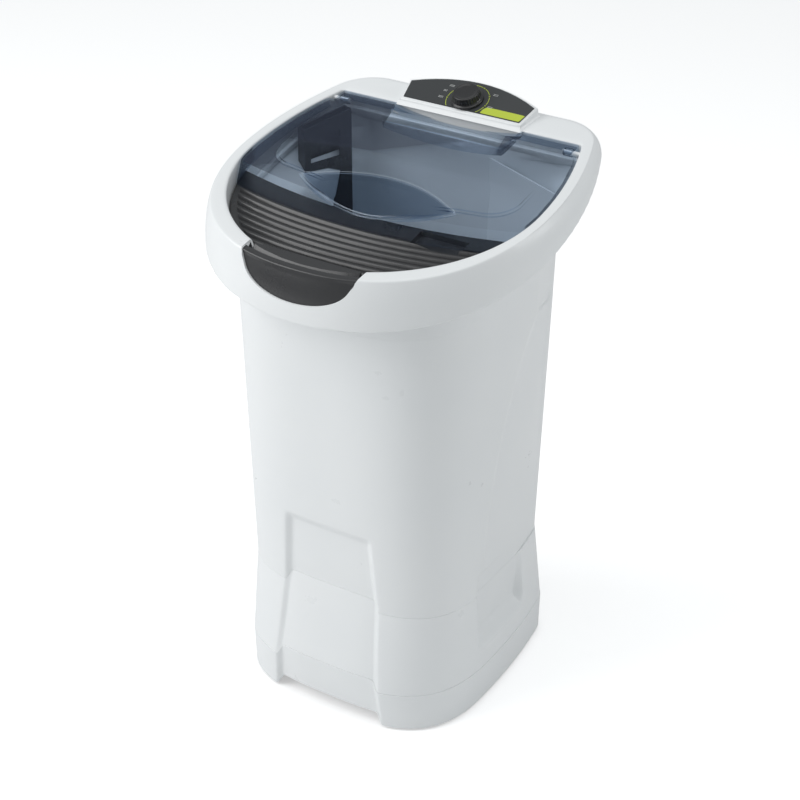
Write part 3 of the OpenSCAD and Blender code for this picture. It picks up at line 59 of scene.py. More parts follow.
# Shader helpers.


class Wire:
    """A node socket or a number, so that shader maths can be written as an expression."""

    def __init__(self, graph: "Graph", value: object) -> None:
        """Keep the graph and the socket or number.

        Args:
            graph: The material's node graph.
            value: An output socket or a plain number.
        """
        self.graph = graph
        self.value = value

    def _math(self, operation: str, a: object, b: object = 0.0) -> "Wire":
        """Add one Math node.

        Args:
            operation: The node's operation.
            a: First operand.
            b: Second operand.

        Returns:
            The node's output.
        """
        return self.graph.node("ShaderNodeMath", {"operation": operation}, {0: a, 1: b})

    def __add__(self, other: object) -> "Wire":
        """Add."""
        return self._math("ADD", self, other)

    def __radd__(self, other: object) -> "Wire":
        """Add, reflected."""
        return self._math("ADD", other, self)

    def __sub__(self, other: object) -> "Wire":
        """Subtract."""
        return self._math("SUBTRACT", self, other)

    def __rsub__(self, other: object) -> "Wire":
        """Subtract, reflected."""
        return self._math("SUBTRACT", other, self)

    def __mul__(self, other: object) -> "Wire":
        """Multiply."""
        return self._math("MULTIPLY", self, other)

    def __rmul__(self, other: object) -> "Wire":
        """Multiply, reflected."""
        return self._math("MULTIPLY", other, self)

    def __truediv__(self, other: object) -> "Wire":
        """Divide."""
        return self._math("DIVIDE", self, other)

    def clamp(self) -> "Wire":
        """Keep the value between 0 and 1."""
        return self._math("MINIMUM", self._math("MAXIMUM", self, 0.0), 1.0)


class Graph:
    """One material's node tree."""

    def __init__(self, name: str) -> None:
        """Make an empty material.

        Args:
            name: The material's name.
        """
        self.material = bpy.data.materials.new(name)
        self.material.use_nodes = True
        self.tree = self.material.node_tree
        self.tree.nodes.clear()

    def node(
        self,
        kind: str,
        settings: dict[str, object] | None = None,
        inputs: dict[object, object] | None = None,
        out: object = 0,
    ) -> Wire:
        """Add one node.

        Args:
            kind: The node's type.
            settings: Properties, set first. A ramp's stops go under "stops".
            inputs: Values or wires by socket name or number.
            out: The output to return.

        Returns:
            The chosen output.
        """
        made = self.tree.nodes.new(kind)
        for name, value in (settings or {}).items():
            if name == "stops":
                ramp = made.color_ramp
                while len(ramp.elements) > 1:
                    ramp.elements.remove(ramp.elements[0])
                for index, (place, tone) in enumerate(value):
                    stop = ramp.elements[0] if index == 0 else ramp.elements.new(place)
                    stop.position = place
                    stop.color = (*tone, 1.0) if isinstance(tone, tuple) else (tone, tone, tone, 1.0)
            else:
                setattr(made, name, value)
        for key, value in (inputs or {}).items():
            socket = made.inputs[key]
            while isinstance(value, Wire):
                value = value.value
            if isinstance(value, bpy.types.NodeSocket):
                self.tree.links.new(value, socket)
            elif isinstance(value, tuple) and len(value) == 3 and socket.type == "RGBA":
                socket.default_value = (*value, 1.0)
            else:
                socket.default_value = value
        return Wire(self, made.outputs[out])

    def place(self) -> Wire:
        """The point in the row frame, in metres."""
        return self.node("ShaderNodeTexCoord", out="Object")

    def noise(self, scale: float, detail: float = 3.0, rough: float = 0.5) -> Wire:
        """A noise value over the surface.

        Args:
            scale: Cells per metre.
            detail: Octaves.
            rough: Weight of the finer octaves.

        Returns:
            The noise, about 0.5.
        """
        return self.node(
            "ShaderNodeTexNoise",
            {},
            {"Vector": self.place(), "Scale": scale, "Detail": detail, "Roughness": rough},
        )

    def mix(self, factor: object, a: object, b: object) -> Wire:
        """Mix two colours.

        Args:
            factor: 0 for a, 1 for b.
            a: First colour.
            b: Second colour.

        Returns:
            The mixed colour.
        """
        return self.node("ShaderNodeMix", {"data_type": "RGBA"}, {0: factor, 6: a, 7: b}, out=2)

    def bump(self, height: object, strength: float, distance: float) -> Wire:
        """A bumped normal.

        Args:
            height: The height wire.
            strength: The node's strength.
            distance: Height of the relief in metres.

        Returns:
            The normal.
        """
        sockets = {"Height": height, "Strength": strength, "Distance": distance}
        return self.node("ShaderNodeBump", {}, sockets)

    def finish(self, shader: Wire) -> bpy.types.Material:
        """Plug the shader in.

        Args:
            shader: The surface shader.

        Returns:
            The finished material.
        """
        output = self.tree.nodes.new("ShaderNodeOutputMaterial")
        self.tree.links.new(shader.value, output.inputs["Surface"])
        return self.material


# Finishes.


@dataclass(frozen=True)
class Moulded:
    """Moulded plastic: fine skin texture, faint flow marks and random specks in tone and gloss."""

    name: str
    tone: Point
    dull: Point
    roughness: float = 0.3
    grain: float = 1400.0
    relief: float = 0.00002
    coat: float = 0.0
    drift: float = 0.04
    mottle: float = 0.5
    speck: float = 240.0

    def material(self) -> bpy.types.Material:
        """Build the node material."""
        g = Graph(self.name)
        broad = g.noise(6.0, 2.0)
        fine = g.noise(self.grain, 2.0)
        specks = g.noise(self.speck, 4.0, 0.65)
        shade = ((broad - 0.5) * 1.6 + (specks - 0.5) * self.mottle + 0.4).clamp()
        tone = g.mix(shade, self.tone, self.dull)
        clouds = (g.noise(14.0, 3.0) - 0.5) * self.drift * 3.0
        rough = clouds + (specks - 0.5) * self.drift + self.roughness
        shader = g.node(
            "ShaderNodeBsdfPrincipled",
            {},
            {
                "Base Color": tone,
                "Roughness": rough.clamp(),
                "Coat Weight": self.coat,
                "Coat Roughness": 0.12,
                "Normal": g.bump(fine + specks * 0.6, 0.35, self.relief),
            },
        )
        return g.finish(shader)


@dataclass(frozen=True)
class ClearTint:
    """Clear tinted plastic, with painted shade inside the finger scoop and painted highlight lines on its
    edge.
    """

    name: str
    tint: Point
    # Darker see-through tint used inside the finger scoop: painted shade for the scoop's refraction.
    scoop_shade_tint: Point
    mirror: float = 0.7

    def circle(self, g: Graph, x: float, y: float, radius: float) -> Wire:
        """Distance outside a circle in the rim's plane, in metres.

        Args:
            g: The material's graph.
            x: Middle, across.
            y: Middle, up the slope of the rim.
            radius: The circle's radius.

        Returns:
            The signed distance.
        """
        place_x, place_y = (
            g.node("ShaderNodeSeparateXYZ", {}, {"Vector": g.place()}, out=axis) for axis in (0, 1)
        )
        across = place_x - x * MM
        along = (place_y - (AXIS_Y + y) * MM) / math.cos(TILT)
        squares = across * across + along * along
        return g.node("ShaderNodeMath", {"operation": "SQRT"}, {0: squares}) - radius * MM

    def material(self) -> bpy.types.Material:
        """Build the node material."""
        g = Graph(self.name)
        waves = g.noise(5.0, 1.0)
        specks = g.noise(420.0, 3.0, 0.6)
        normal = g.bump(waves, 0.12, 0.0003)
        sheen = g.node("ShaderNodeLayerWeight", {}, {"Blend": 0.14, "Normal": normal}, out="Fresnel")
        front = self.circle(g, 0, SCOOP_Y + SCOOP_SAG - SCOOP_ARC, SCOOP_ARC)
        back = self.circle(g, 0, SCOOP_Y - SCOOP_SAG + SCOOP_ARC, SCOOP_ARC)
        away = g.node("ShaderNodeMath", {"operation": "MAXIMUM"}, {0: front, 1: back})
        # Mask of the painted shade inside the finger scoop.
        inside = ((away * -1.0) / SCOOP_SHADE_FADE).clamp()
        off_highlight = g.node("ShaderNodeMath", {"operation": "ABSOLUTE"}, {0: away})
        # Mask of the painted highlight line along the scoop's edge.
        line = ((off_highlight * -1.0 + HIGHLIGHT_HALF) / HIGHLIGHT_FADE).clamp()
        clear = g.node("ShaderNodeBsdfTransparent", {}, {"Color": self.tint})
        # The darker see-through shader: painted shade inside the scoop.
        scoop_shade_tint = g.node("ShaderNodeBsdfTransparent", {}, {"Color": self.scoop_shade_tint})
        through = g.node("ShaderNodeMixShader", {}, {0: inside, 1: clear, 2: scoop_shade_tint})
        skin = g.node(
            "ShaderNodeBsdfPrincipled",
            {},
            {
                # Pale along the scoop's edge: painted highlight.
                "Base Color": g.mix(line, (0.035, 0.04, 0.06), (0.5, 0.58, 0.68)),
                "Roughness": (specks * 0.05 + 0.03).clamp(),
                "Specular IOR Level": 0.8,
                "Normal": normal,
            },
        )
        # The line mask also raises the skin's share: part of the painted highlight.
        share = (sheen * self.mirror + line * 0.3 + 0.02 + (specks - 0.5) * 0.02).clamp()
        return g.finish(g.node("ShaderNodeMixShader", {}, {0: share, 1: through, 2: skin}))


@dataclass(frozen=True)
class Metal:
    """Plated or cast metal with fine scratches and stains."""

    name: str
    tone: Point
    stain: Point
    roughness: float = 0.32
    grain: float = 700.0

    def material(self) -> bpy.types.Material:
        """Build the node material."""
        g = Graph(self.name)
        marks = g.noise(self.grain, 4.0, 0.7)
        clouds = g.noise(40.0, 4.0, 0.6)
        tone = g.mix(((clouds - 0.35) * 1.5).clamp(), self.tone, self.stain)
        shader = g.node(
            "ShaderNodeBsdfPrincipled",
            {},
            {
                "Base Color": tone,
                "Metallic": 1.0,
                "Roughness": ((marks - 0.5) * 0.25 + (clouds - 0.5) * 0.3 + self.roughness).clamp(),
                "Normal": g.bump(marks, 0.3, 0.00003),
            },
        )
        return g.finish(shader)


class Finish(Enum):
    """Every finish on the machine."""

    SHELL = Moulded(
        "shell white plastic",
        (0.83, 0.845, 0.85), (0.8, 0.82, 0.83), 0.3, 300.0, 0.000002, 0.12, mottle=0.1, speck=50.0,
    )
    DECK = Moulded(
        "washboard black plastic",
        (0.022, 0.022, 0.024), (0.032, 0.032, 0.034), 0.3, 900.0, 0.00003, 0.2, 0.08,
    )
    KNOB = Moulded(
        "knob black plastic", (0.012, 0.012, 0.013), (0.02, 0.02, 0.021), 0.32, 1100.0, 0.00003, 0.2, 0.08
    )
    FILM = Moulded(
        "panel charcoal film", (0.033, 0.036, 0.038), (0.042, 0.045, 0.047), 0.42, 2200.0, 0.00001
    )
    LIME = Moulded("lime ink", (0.52, 0.62, 0.06), (0.47, 0.57, 0.05), 0.4, 2200.0, 0.00001)
    PALE = Moulded("pale ink", (0.72, 0.73, 0.72), (0.62, 0.63, 0.62), 0.45, 2200.0, 0.00001)
    GREY = Moulded("grey plastic", (0.3, 0.31, 0.32), (0.25, 0.26, 0.27), 0.45, 700.0, 0.00004)
    FLOOR_GREY = Moulded(
        "impeller grey plastic", (0.42, 0.44, 0.46), (0.36, 0.38, 0.4), 0.38, 800.0, 0.00003
    )
    RUBBER = Moulded("black rubber", (0.02, 0.02, 0.02), (0.035, 0.034, 0.033), 0.75, 600.0, 0.00006)
    PAINT = Moulded("dark grey paint", (0.06, 0.068, 0.078), (0.05, 0.055, 0.062), 0.45, 500.0, 0.00005)
    # Its second tint is the painted shade inside the finger scoop.
    LID = ClearTint("clear tinted plastic", (0.9, 0.94, 0.985), (0.62, 0.69, 0.78))
    STEEL = Metal("zinc plated steel", (0.62, 0.63, 0.65), (0.5, 0.5, 0.48), 0.3)
    ALLOY = Metal("cast aluminium", (0.7, 0.71, 0.73), (0.58, 0.59, 0.6), 0.42)
    BRONZE = Metal("sintered bronze", (0.55, 0.4, 0.18), (0.4, 0.28, 0.13), 0.5)


MADE: dict[Finish, bpy.types.Material] = {}


def dress(thing: bpy.types.Object, finish: Finish) -> None:
    """Put one finish on every slot of an object.

    Args:
        thing: The mesh object.
        finish: The finish.
    """
    if finish not in MADE:
        MADE[finish] = finish.value.material()
    if not thing.data.materials:
        thing.data.materials.append(MADE[finish])
    for index in range(len(thing.data.materials)):
        thing.data.materials[index] = MADE[finish]


# Outlines.


@dataclass(frozen=True)
class Outline:
    """A plan outline: superellipse front, drawn-in sides and rounded back corners."""

    half: float
    front: float
    back: float
    back_half: float
    corner: float
    square: float
    widest: float
    panel_half: float = 72.0
    panel_sink: float = 0.0

    ARC = 64
    SIDE = 64
    CORNER = 14
    FLAT = 8
    STEP = 8
    SHOULDER = 13.0

    def inset(self, d: float) -> "Outline":
        """The outline moved in by d all round."""
        return replace(
            self,
            half=self.half - d,
            front=self.front - d,
            back=self.back - d,
            back_half=self.back_half - d,
            corner=max(self.corner - d, 2.0),
        )

    def mix(self, other: "Outline", k: float) -> "Outline":
        """An outline part way to another.

        Args:
            other: The outline at k = 1.
            k: The share of the other.

        Returns:
            The mixed outline.
        """
        names = [sized.name for sized in fields(self)]
        return Outline(**{n: getattr(self, n) * (1 - k) + getattr(other, n) * k for n in names})

    def front_y(self, x: float) -> float:
        """The y of the front at x."""
        depth = (1 - (x / self.half) ** self.square) ** (1 / self.square)
        return self.widest - (self.front + self.widest) * depth

    def half_plan(self) -> list[tuple[float, float]]:
        """Points of the right half, from the middle of the front to the back corner."""
        outer = self.panel_half
        inner = outer - self.SHOULDER
        start = math.asin((outer / self.half) ** (self.square / 2))
        lead = math.atan(2 * (self.half - self.back_half) / (self.back - self.corner - self.widest))
        end_y = self.back - self.corner + self.corner * math.sin(lead)
        middle = self.back_half - self.corner * math.cos(lead)
        flat = [inner * i / self.FLAT for i in range(self.FLAT + 1)]
        found = [(x, self.front_y(x) + self.panel_sink) for x in flat]
        for i in range(1, self.STEP + 1):
            s = i / self.STEP
            x = inner + (outer - inner) * s
            found.append((x, self.front_y(x) + self.panel_sink * (1 - s * s * (3 - 2 * s))))
        for i in range(1, self.ARC + 1):
            t = start + (math.pi / 2 - start) * (1 - (1 - i / self.ARC) ** 1.5)
            found.append(
                (
                    self.half * math.sin(t) ** (2 / self.square),
                    self.widest - (self.front + self.widest) * max(math.cos(t), 0.0) ** (2 / self.square),
                )
            )
        for i in range(1, self.SIDE + 1):
            s = i / self.SIDE
            x = self.half - (self.half - self.back_half) * s * s
            found.append((x, self.widest + (end_y - self.widest) * s))
        for i in range(1, self.CORNER + 1):
            t = lead + (math.pi / 2 - lead) * i / self.CORNER
            y = self.back - self.corner + self.corner * math.sin(t)
            found.append((middle + self.corner * math.cos(t), y))
        for i in range(1, 10):
            found.append((found[-1][0] - middle / 10 if i > 1 else middle * 0.9, self.back))
        return found

    def plan(self) -> list[tuple[float, float]]:
        """Points of the whole outline, anticlockwise from the middle of the front."""
        right = self.half_plan()
        return right + [(0.0, self.back)] + [(-x, y) for x, y in reversed(right[1:])]


def body_outline(width: float, front: float, back: float, square: float) -> Outline:
    """One of the body's outlines.

    Args:
        width: Full width.
        front: Tub axis to the front.
        back: Tub axis to the back.
        square: Squareness of the front.

    Returns:
        The outline.
    """
    return Outline(width / 2, front, back, width / 2 - 13, 40, square, -35)


TOP = body_outline(362, 198, 155, 3.0)
NECK = body_outline(344, 181, 142, 3.2)
BASE = body_outline(358, 201, 154, 2.9)
FOOT = body_outline(352, 196, 157, 3.1)
RIM = Outline(243, 255, 208, 205, 72, 2.17, -6)
MOUTH = Outline(217, 227, 148, 188, 8, 2.0, -20)
NECK_H, BASE_H, SKIRT_H, RIM_H = 184.0, 62.0, 640.0, 753.0
PANEL_H, ARCH = 290.0, 17.0
WALL, COVER_WALL = 3.5, 3.0
SKIRT_TILT = math.radians(7.0)
LIP_DEPTH, LIP_RISE = 46.0, 24.0


def rim_z(y: float) -> float:
    """Height of the rim's top plane at y."""
    return RIM_H + math.tan(TILT) * y


def skirt_z(y: float) -> float:
    """Height of the skirt's lower edge at y."""
    return SKIRT_H + math.tan(SKIRT_TILT) * y


def smooth(t: float) -> float:
    """A smooth step from 0 to 1."""
    t = min(max(t, 0.0), 1.0)
    return t * t * (3 - 2 * t)


def bulge(v: float, y: float) -> float:
    """How far the rim's skin has come out at height v.

    Args:
        v: 0 at the skirt's edge, 1 at the top plane.
        y: Distance behind the tub's axis.

    Returns:
        0 at the body's outline, 1 at the rim's.
    """
    back = min(max((y + 255) / 463, 0.0), 1.0)
    start, top, lead = 0.2 - 0.1 * back, 0.36 + 0.47 * back, 1.4 + 0.9 * back
    rise = min(max((v - start) / (top - start), 0.0), 1.0) ** lead
    over = max((v - top) / (1 - top), 0.0)
    return (1 - (1 - rise) ** 1.25) ** 0.8 - 0.2 * over**2.4


def stretch(z: float) -> Outline:
    """The body's outline at height z, with the front panel sunk into it."""
    if z < BASE_H:
        found = FOOT.mix(BASE, z / BASE_H)
    elif z < NECK_H:
        found = BASE.mix(NECK, (z - BASE_H) / (NECK_H - BASE_H))
    else:
        found = NECK.mix(TOP, min((z - NECK_H) / (SKIRT_H - NECK_H), 1.0))
    half = 92 - 20 * min(z / PANEL_H, 1.0)
    return replace(found, panel_half=half, panel_sink=6 * (1 - smooth((z - PANEL_H) / 16)))


def ring(outline: Outline, z: float, slope: float = 0.0) -> list[Point]:
    """A ring of an outline on the plane z + slope * y."""
    return [(x, y, z + slope * y) for x, y in outline.plan()]


def skin_ring(v: float, t: float) -> list[Point]:
    """The ring of the rim's skin at height v, moved in by t."""
    low, high = TOP.inset(t).plan(), RIM.inset(t).plan()
    found = []
    for (lx, ly), (hx, hy) in zip(low, high):
        k = bulge(v, hy)
        x, y = lx + (hx - lx) * k, ly + (hy - ly) * k
        found.append((x, y, skirt_z(y) + 1.5 * t + (rim_z(y) - skirt_z(y) - 2.5 * t) * v))
    return found


def rim_ring(outline: Outline, down: float, lip: bool = False) -> list[Point]:
    """A ring at a depth under the rim's top plane, or under the lip's lower edge.

    Args:
        outline: The ring's outline.
        down: Depth, square to the plane.
        lip: Whether the depth counts from the lip's lower edge.

    Returns:
        The ring's points.
    """
    found = []
    for x, y in outline.plan():
        edge = LIP_DEPTH - LIP_RISE * min(max((y + 20) / 168, 0.0), 1.0) if lip else 0.0
        d = down + edge
        found.append((x, y + d * math.sin(TILT), rim_z(y) - d * math.cos(TILT)))
    return found


# Mesh helpers.


def calm() -> None:
    """Deselect everything, in object mode."""
    if bpy.context.object is not None and bpy.context.object.mode != "OBJECT":
        bpy.ops.object.mode_set(mode="OBJECT")
    bpy.ops.object.select_all(action="DESELECT")


def pick(thing: bpy.types.Object) -> None:
    """Make one object the selected and active one."""
    calm()
    thing.select_set(True)
    bpy.context.view_layer.objects.active = thing


def apply_modifiers(thing: bpy.types.Object) -> None:
    """Apply every modifier, in order."""
    pick(thing)
    for modifier in list(thing.modifiers):
        bpy.ops.object.modifier_apply(modifier=modifier.name)


def shade(thing: bpy.types.Object, degrees: float = 32.0) -> None:
    """Smooth the shading, with creases kept above an angle."""
    pick(thing)
    bpy.ops.object.shade_smooth_by_angle(angle=math.radians(degrees))


def settle(thing: bpy.types.Object) -> None:
    """Put the object's place into its mesh."""
    pick(thing)
    bpy.ops.object.transform_apply(location=True, rotation=True, scale=True)


def mesh_object(name: str, points: list[Point], faces: list[tuple[int, ...]]) -> bpy.types.Object:
    """Make a mesh from points about the tub's axis.

    Args:
        name: The object's name.
        points: Millimetres, y counted from the tub's axis.
        faces: Indices.

    Returns:
        The new object.
    """
    mesh = bpy.data.meshes.new(name)
    mesh.from_pydata([(x * MM, (y + AXIS_Y) * MM, z * MM) for x, y, z in points], [], faces)
    mesh.validate()
    thing = bpy.data.objects.new(name, mesh)
    bpy.context.collection.objects.link(thing)
    return thing


def face_out(thing: bpy.types.Object) -> bpy.types.Object:
    """Merge doubles, turn the faces outwards and return the object."""
    pick(thing)
    bpy.ops.object.mode_set(mode="EDIT")
    bpy.ops.mesh.select_all(action="SELECT")
    bpy.ops.mesh.remove_doubles(threshold=0.00002)
    bpy.ops.mesh.normals_make_consistent(inside=False)
    bpy.ops.object.mode_set(mode="OBJECT")
    return thing


def skin(
    name: str,
    rings: list[list[Point]],
    closed: bool = True,
    low: bool = False,
    high: bool = False,
    loop: bool = False,
) -> bpy.types.Object:
    """A surface through a stack of rings.

    Args:
        name: The object's name.
        rings: Rings of equal length.
        closed: Whether each ring is closed.
        low: Whether the first ring is capped.
        high: Whether the last ring is capped.
        loop: Whether the last ring joins the first.

    Returns:
        The new object.
    """
    n = len(rings[0])
    points = [p for r in rings for p in r]
    faces: list[tuple[int, ...]] = []
    count = len(rings)
    for r in range(count if loop else count - 1):
        s = (r + 1) % count
        for j in range(n if closed else n - 1):
            k = (j + 1) % n
            faces.append((r * n + j, r * n + k, s * n + k, s * n + j))
    if loop and not closed:
        faces.append(tuple(r * n for r in range(count)))
        faces.append(tuple(r * n + n - 1 for r in reversed(range(count))))
    for wanted, r, flip in ((low, 0, True), (high, count - 1, False)):
        if wanted:
            x, y, z = (sum(p[a] for p in rings[r]) / n for a in range(3))
            points.append((x, y, z))
            hub = len(points) - 1
            for j in range(n):
                k = (j + 1) % n
                a, b = r * n + j, r * n + k
                faces.append((hub, b, a) if flip else (hub, a, b))
    return face_out(mesh_object(name, points, faces))


def cut(thing: bpy.types.Object, cutter: bpy.types.Object) -> None:
    """Take a cutter out of an object and drop the cutter."""
    tool = thing.modifiers.new("cut", "BOOLEAN")
    tool.operation = "DIFFERENCE"
    tool.solver = "EXACT"
    tool.object = cutter
    apply_modifiers(thing)
    bpy.data.objects.remove(cutter, do_unlink=True)


def mount(thing: bpy.types.Object, finish: Finish, body: str, slot: str, *nodes: str) -> bpy.types.Object:
    """Dress a finished piece and set it on its body.

    Args:
        thing: The piece.
        finish: Its finish.
        body: The body it rides on.
        slot: Its material slot in the record; not used.
        nodes: The nodes that it stands for.

    Returns:
        The piece.
    """
    thing.name = thing.name.replace(" ", "_")
    dress(thing, finish)
    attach(thing, body)
    if nodes:
        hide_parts(*nodes)
    LOG.info("%s: %d faces", thing.name, len(thing.data.polygons))
    return thing


def softened(node: str, name: str, width: float) -> bpy.types.Object:
    """A copy of a node with its sharp edges rounded.

    Args:
        node: The node that is copied.
        name: The new piece's name.
        width: The rounding's width.

    Returns:
        The new object.
    """
    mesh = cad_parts[node].data.copy()
    mesh.name = name
    thing = bpy.data.objects.new(name, mesh)
    bpy.context.collection.objects.link(thing)
    mesh.materials.clear()
    pick(thing)
    if mesh.has_custom_normals:
        bpy.ops.mesh.customdata_custom_splitnormals_clear()
    bpy.ops.object.mode_set(mode="EDIT")
    bpy.ops.mesh.select_all(action="SELECT")
    bpy.ops.mesh.remove_doubles(threshold=0.000005)
    bpy.ops.mesh.dissolve_limited(angle_limit=math.radians(0.8))
    bpy.ops.object.mode_set(mode="OBJECT")
    bevel = thing.modifiers.new("edge", "BEVEL")
    bevel.width = width * MM
    bevel.segments = 2
    bevel.limit_method = "ANGLE"
    bevel.angle_limit = math.radians(28.0)
    bevel.use_clamp_overlap = True
    apply_modifiers(thing)
    shade(thing, 40)
    even = thing.modifiers.new("even", "WEIGHTED_NORMAL")
    even.weight = 100
    even.keep_sharp = True
    apply_modifiers(thing)
    return thing


def rounded(points: list[tuple[float, float]], turns: int = 3) -> list[tuple[float, float]]:
    """Cut the corners of an open line, again and again.

    Args:
        points: The line's points.
        turns: How many times.

    Returns:
        The rounded line.
    """
    for _ in range(turns):
        found = [points[0]]
        for (ax, ay), (bx, by) in zip(points, points[1:]):
            found.append((ax * 0.75 + bx * 0.25, ay * 0.75 + by * 0.25))
            found.append((ax * 0.25 + bx * 0.75, ay * 0.25 + by * 0.75))
        found.append(points[-1])
        points = found
    return points


def soften(rings: list[list[Point]], turns: int = 2) -> list[list[Point]]:
    """Round a stack of rings along the stack, keeping its first and last ring."""
    for _ in range(turns):
        found = [rings[0]]
        for a, b in zip(rings, rings[1:]):
            found.append([tuple(p[i] * 0.75 + q[i] * 0.25 for i in range(3)) for p, q in zip(a, b)])
            found.append([tuple(p[i] * 0.25 + q[i] * 0.75 for i in range(3)) for p, q in zip(a, b)])
        found.append(rings[-1])
        rings = found
    return rings


def prism(name: str, outline: list[tuple[float, float]], low: float, high: float) -> bpy.types.Object:
    """A prism along Y about the tub's axis.

    Args:
        name: The object's name.
        outline: Its outline in x and z.
        low: The y where it starts.
        high: The y where it ends.

    Returns:
        The new object.
    """
    n = len(outline)
    points = [(x, low, z) for x, z in outline] + [(x, high, z) for x, z in outline]
    faces = [tuple(reversed(range(n))), tuple(range(n, 2 * n))]
    faces += [(j, (j + 1) % n, n + (j + 1) % n, n + j) for j in range(n)]
    return face_out(mesh_object(name, points, faces))


# Sub-assemblies.


@dataclass
class Rim:
    """The flared top cover with its lip, its hand notch and the control pod."""

    notch_half: float = 80.0
    notch_depth: float = 41.0
    shoulder: float = 4.0

    def notch(self, grow: float) -> bpy.types.Object:
        """The cutter for the hand notch.

        Args:
            grow: How much wider and deeper than the notch it is.

        Returns:
            The cutter.
        """
        line = self.edge_line(grow)
        right, left = line[0][0], line[-1][0]
        line = [(right + 12, 90.0), (right + 2, 4.0)] + line + [(left - 2, 4.0), (left - 12, 90.0)]
        z = rim_z(-255)
        return prism("notch cutter", [(x, z + d) for x, d in line], -300, -60)

    def edge_line(self, grow: float) -> list[tuple[float, float]]:
        """The notch's edge seen from the front: x, and height over the rim's front, from right to left.

        Args:
            grow: How much wider and deeper than the notch it is.

        Returns:
            The line's points.
        """
        half, depth = self.notch_half + grow, self.notch_depth + grow
        found = []
        for i in range(49):
            t = math.pi * i / 48
            drop = depth * math.sin(t) ** 0.85
            flare = self.shoulder * (1 - smooth(drop / 13)) * (1 if i < 24 else -1)
            found.append((half * math.cos(t) + flare, -drop))
        return found

    def bowl(self) -> bpy.types.Object:
        """The bowl of the rim, one smooth skin rolled over the edge and down the lip."""
        steps = 46
        outside = [skin_ring(0.92 * i / steps, 0) for i in range(steps + 1)]
        land = RIM.mix(MOUTH, 0.8)
        roll = ((0.42, -0.4), (0.8, 0.0), (0.93, 0.5), (1.0, 2.0), (1.0, 7.0))
        corner = soften(
            [skin_ring(v, 0) for v in (0.92, 0.955, 1)]
            + [rim_ring(RIM.mix(MOUTH, k), down) for k, down in roll],
            3,
        )
        lip = MOUTH.inset(-COVER_WALL)
        rest = [
            rim_ring(MOUTH, 18.0),
            rim_ring(MOUTH, -0.5, True),
            rim_ring(MOUTH.inset(-0.5), 0, True),
            rim_ring(lip.inset(0.5), 0, True),
            rim_ring(lip, -0.5, True),
            rim_ring(lip, 8.0),
            rim_ring(land.inset(COVER_WALL), COVER_WALL),
        ]
        inside = [skin_ring(v, COVER_WALL) for v in (0.9, 0.8, 0.68, 0.56, 0.44, 0.34, 0.27, 0.2, 0.1, 0.0)]
        edge = [skin_ring(0.0, 1.0), skin_ring(-0.002, 0.4)]
        made = skin("rim bowl", outside + corner[1:] + rest + inside + edge, loop=True)
        cut(made, self.notch(0))
        shade(made, 35)
        return made

    def notch_bead(self) -> bpy.types.Object:
        """The rolled edge of the hand notch."""
        z0 = rim_z(-255)
        rings: list[list[Point]] = []
        radius = 1.5
        for i in range(12):
            turn = 2 * math.pi * i / 12
            grow, inward = 1.2 - radius * math.cos(turn), radius * (1 + math.sin(turn))
            found = []
            for x, drop in reversed(self.edge_line(grow)[2:-2]):
                height = z0 + drop
                y = self.skin_y(abs(x), height)
                found.append((x, y + inward, min(height, rim_z(y + inward) - 1.6)))
            rings.append(found)
        made = skin("notch bead", rings, closed=False, loop=True)
        shade(made, 40)
        return made

    def apron(self) -> bpy.types.Object:
        """The smooth apron behind the notch, rolled over into the deck."""
        columns = []
        steps = 14
        for i in range(57):
            x = (self.notch_half + self.shoulder + 5) * (i / 28 - 1)
            share = min(abs(x) / self.notch_half, 1.0)
            low = rim_z(-255) - (self.notch_depth + 5) * (1 - share**2) ** 0.42 - 2
            edge_y = self.skin_y(abs(x), rim_z(-240) - 6) + 4.2
            top = rim_z(edge_y) - 3.4
            column = []
            for j in range(steps + 1):
                z = low + (top - low) * j / steps
                column.append((x, self.skin_y(abs(x), min(z, rim_z(-250) - 4)) + 3.3, z))
            y = column[-1][1]
            for back, up in ((0.3, 0.9), (1.0, 1.6), (2.2, 2.0), (4.5, 2.4), (9.0, 3.0)):
                column.append((x, y + back, top + up))
            column += [(x, y + 9.0, top + 1.6), (x, y + 3.0, top - 1.0), (x, y + 2.0, low)]
            columns.append(column)
        made = skin("notch apron", columns, low=True, high=True)
        shade(made, 40)
        return made

    def skin_y(self, x: float, z: float) -> float:
        """The y of the rim's front skin at x and z, found by halving."""
        low, high = TOP.front_y(min(x, TOP.half * 0.98)), RIM.front_y(x)
        a, b = 0.36, 1.0
        for _ in range(24):
            v = (a + b) / 2
            k = bulge(v, high)
            y = low + (high - low) * k
            if skirt_z(y) + (rim_z(y) - skirt_z(y)) * v < z:
                a = v
            else:
                b = v
        k = bulge((a + b) / 2, high)
        return low + (high - low) * k

    def build(self) -> None:
        """Build and mount the rim and its pod."""
        mount(self.bowl(), Finish.SHELL, "frame", "white_shell", "top_cover")
        mount(self.notch_bead(), Finish.SHELL, "frame", "white_shell")
        mount(self.apron(), Finish.DECK, "frame", "black_gloss")
        mount(Pod().block(), Finish.SHELL, "frame", "white_shell")


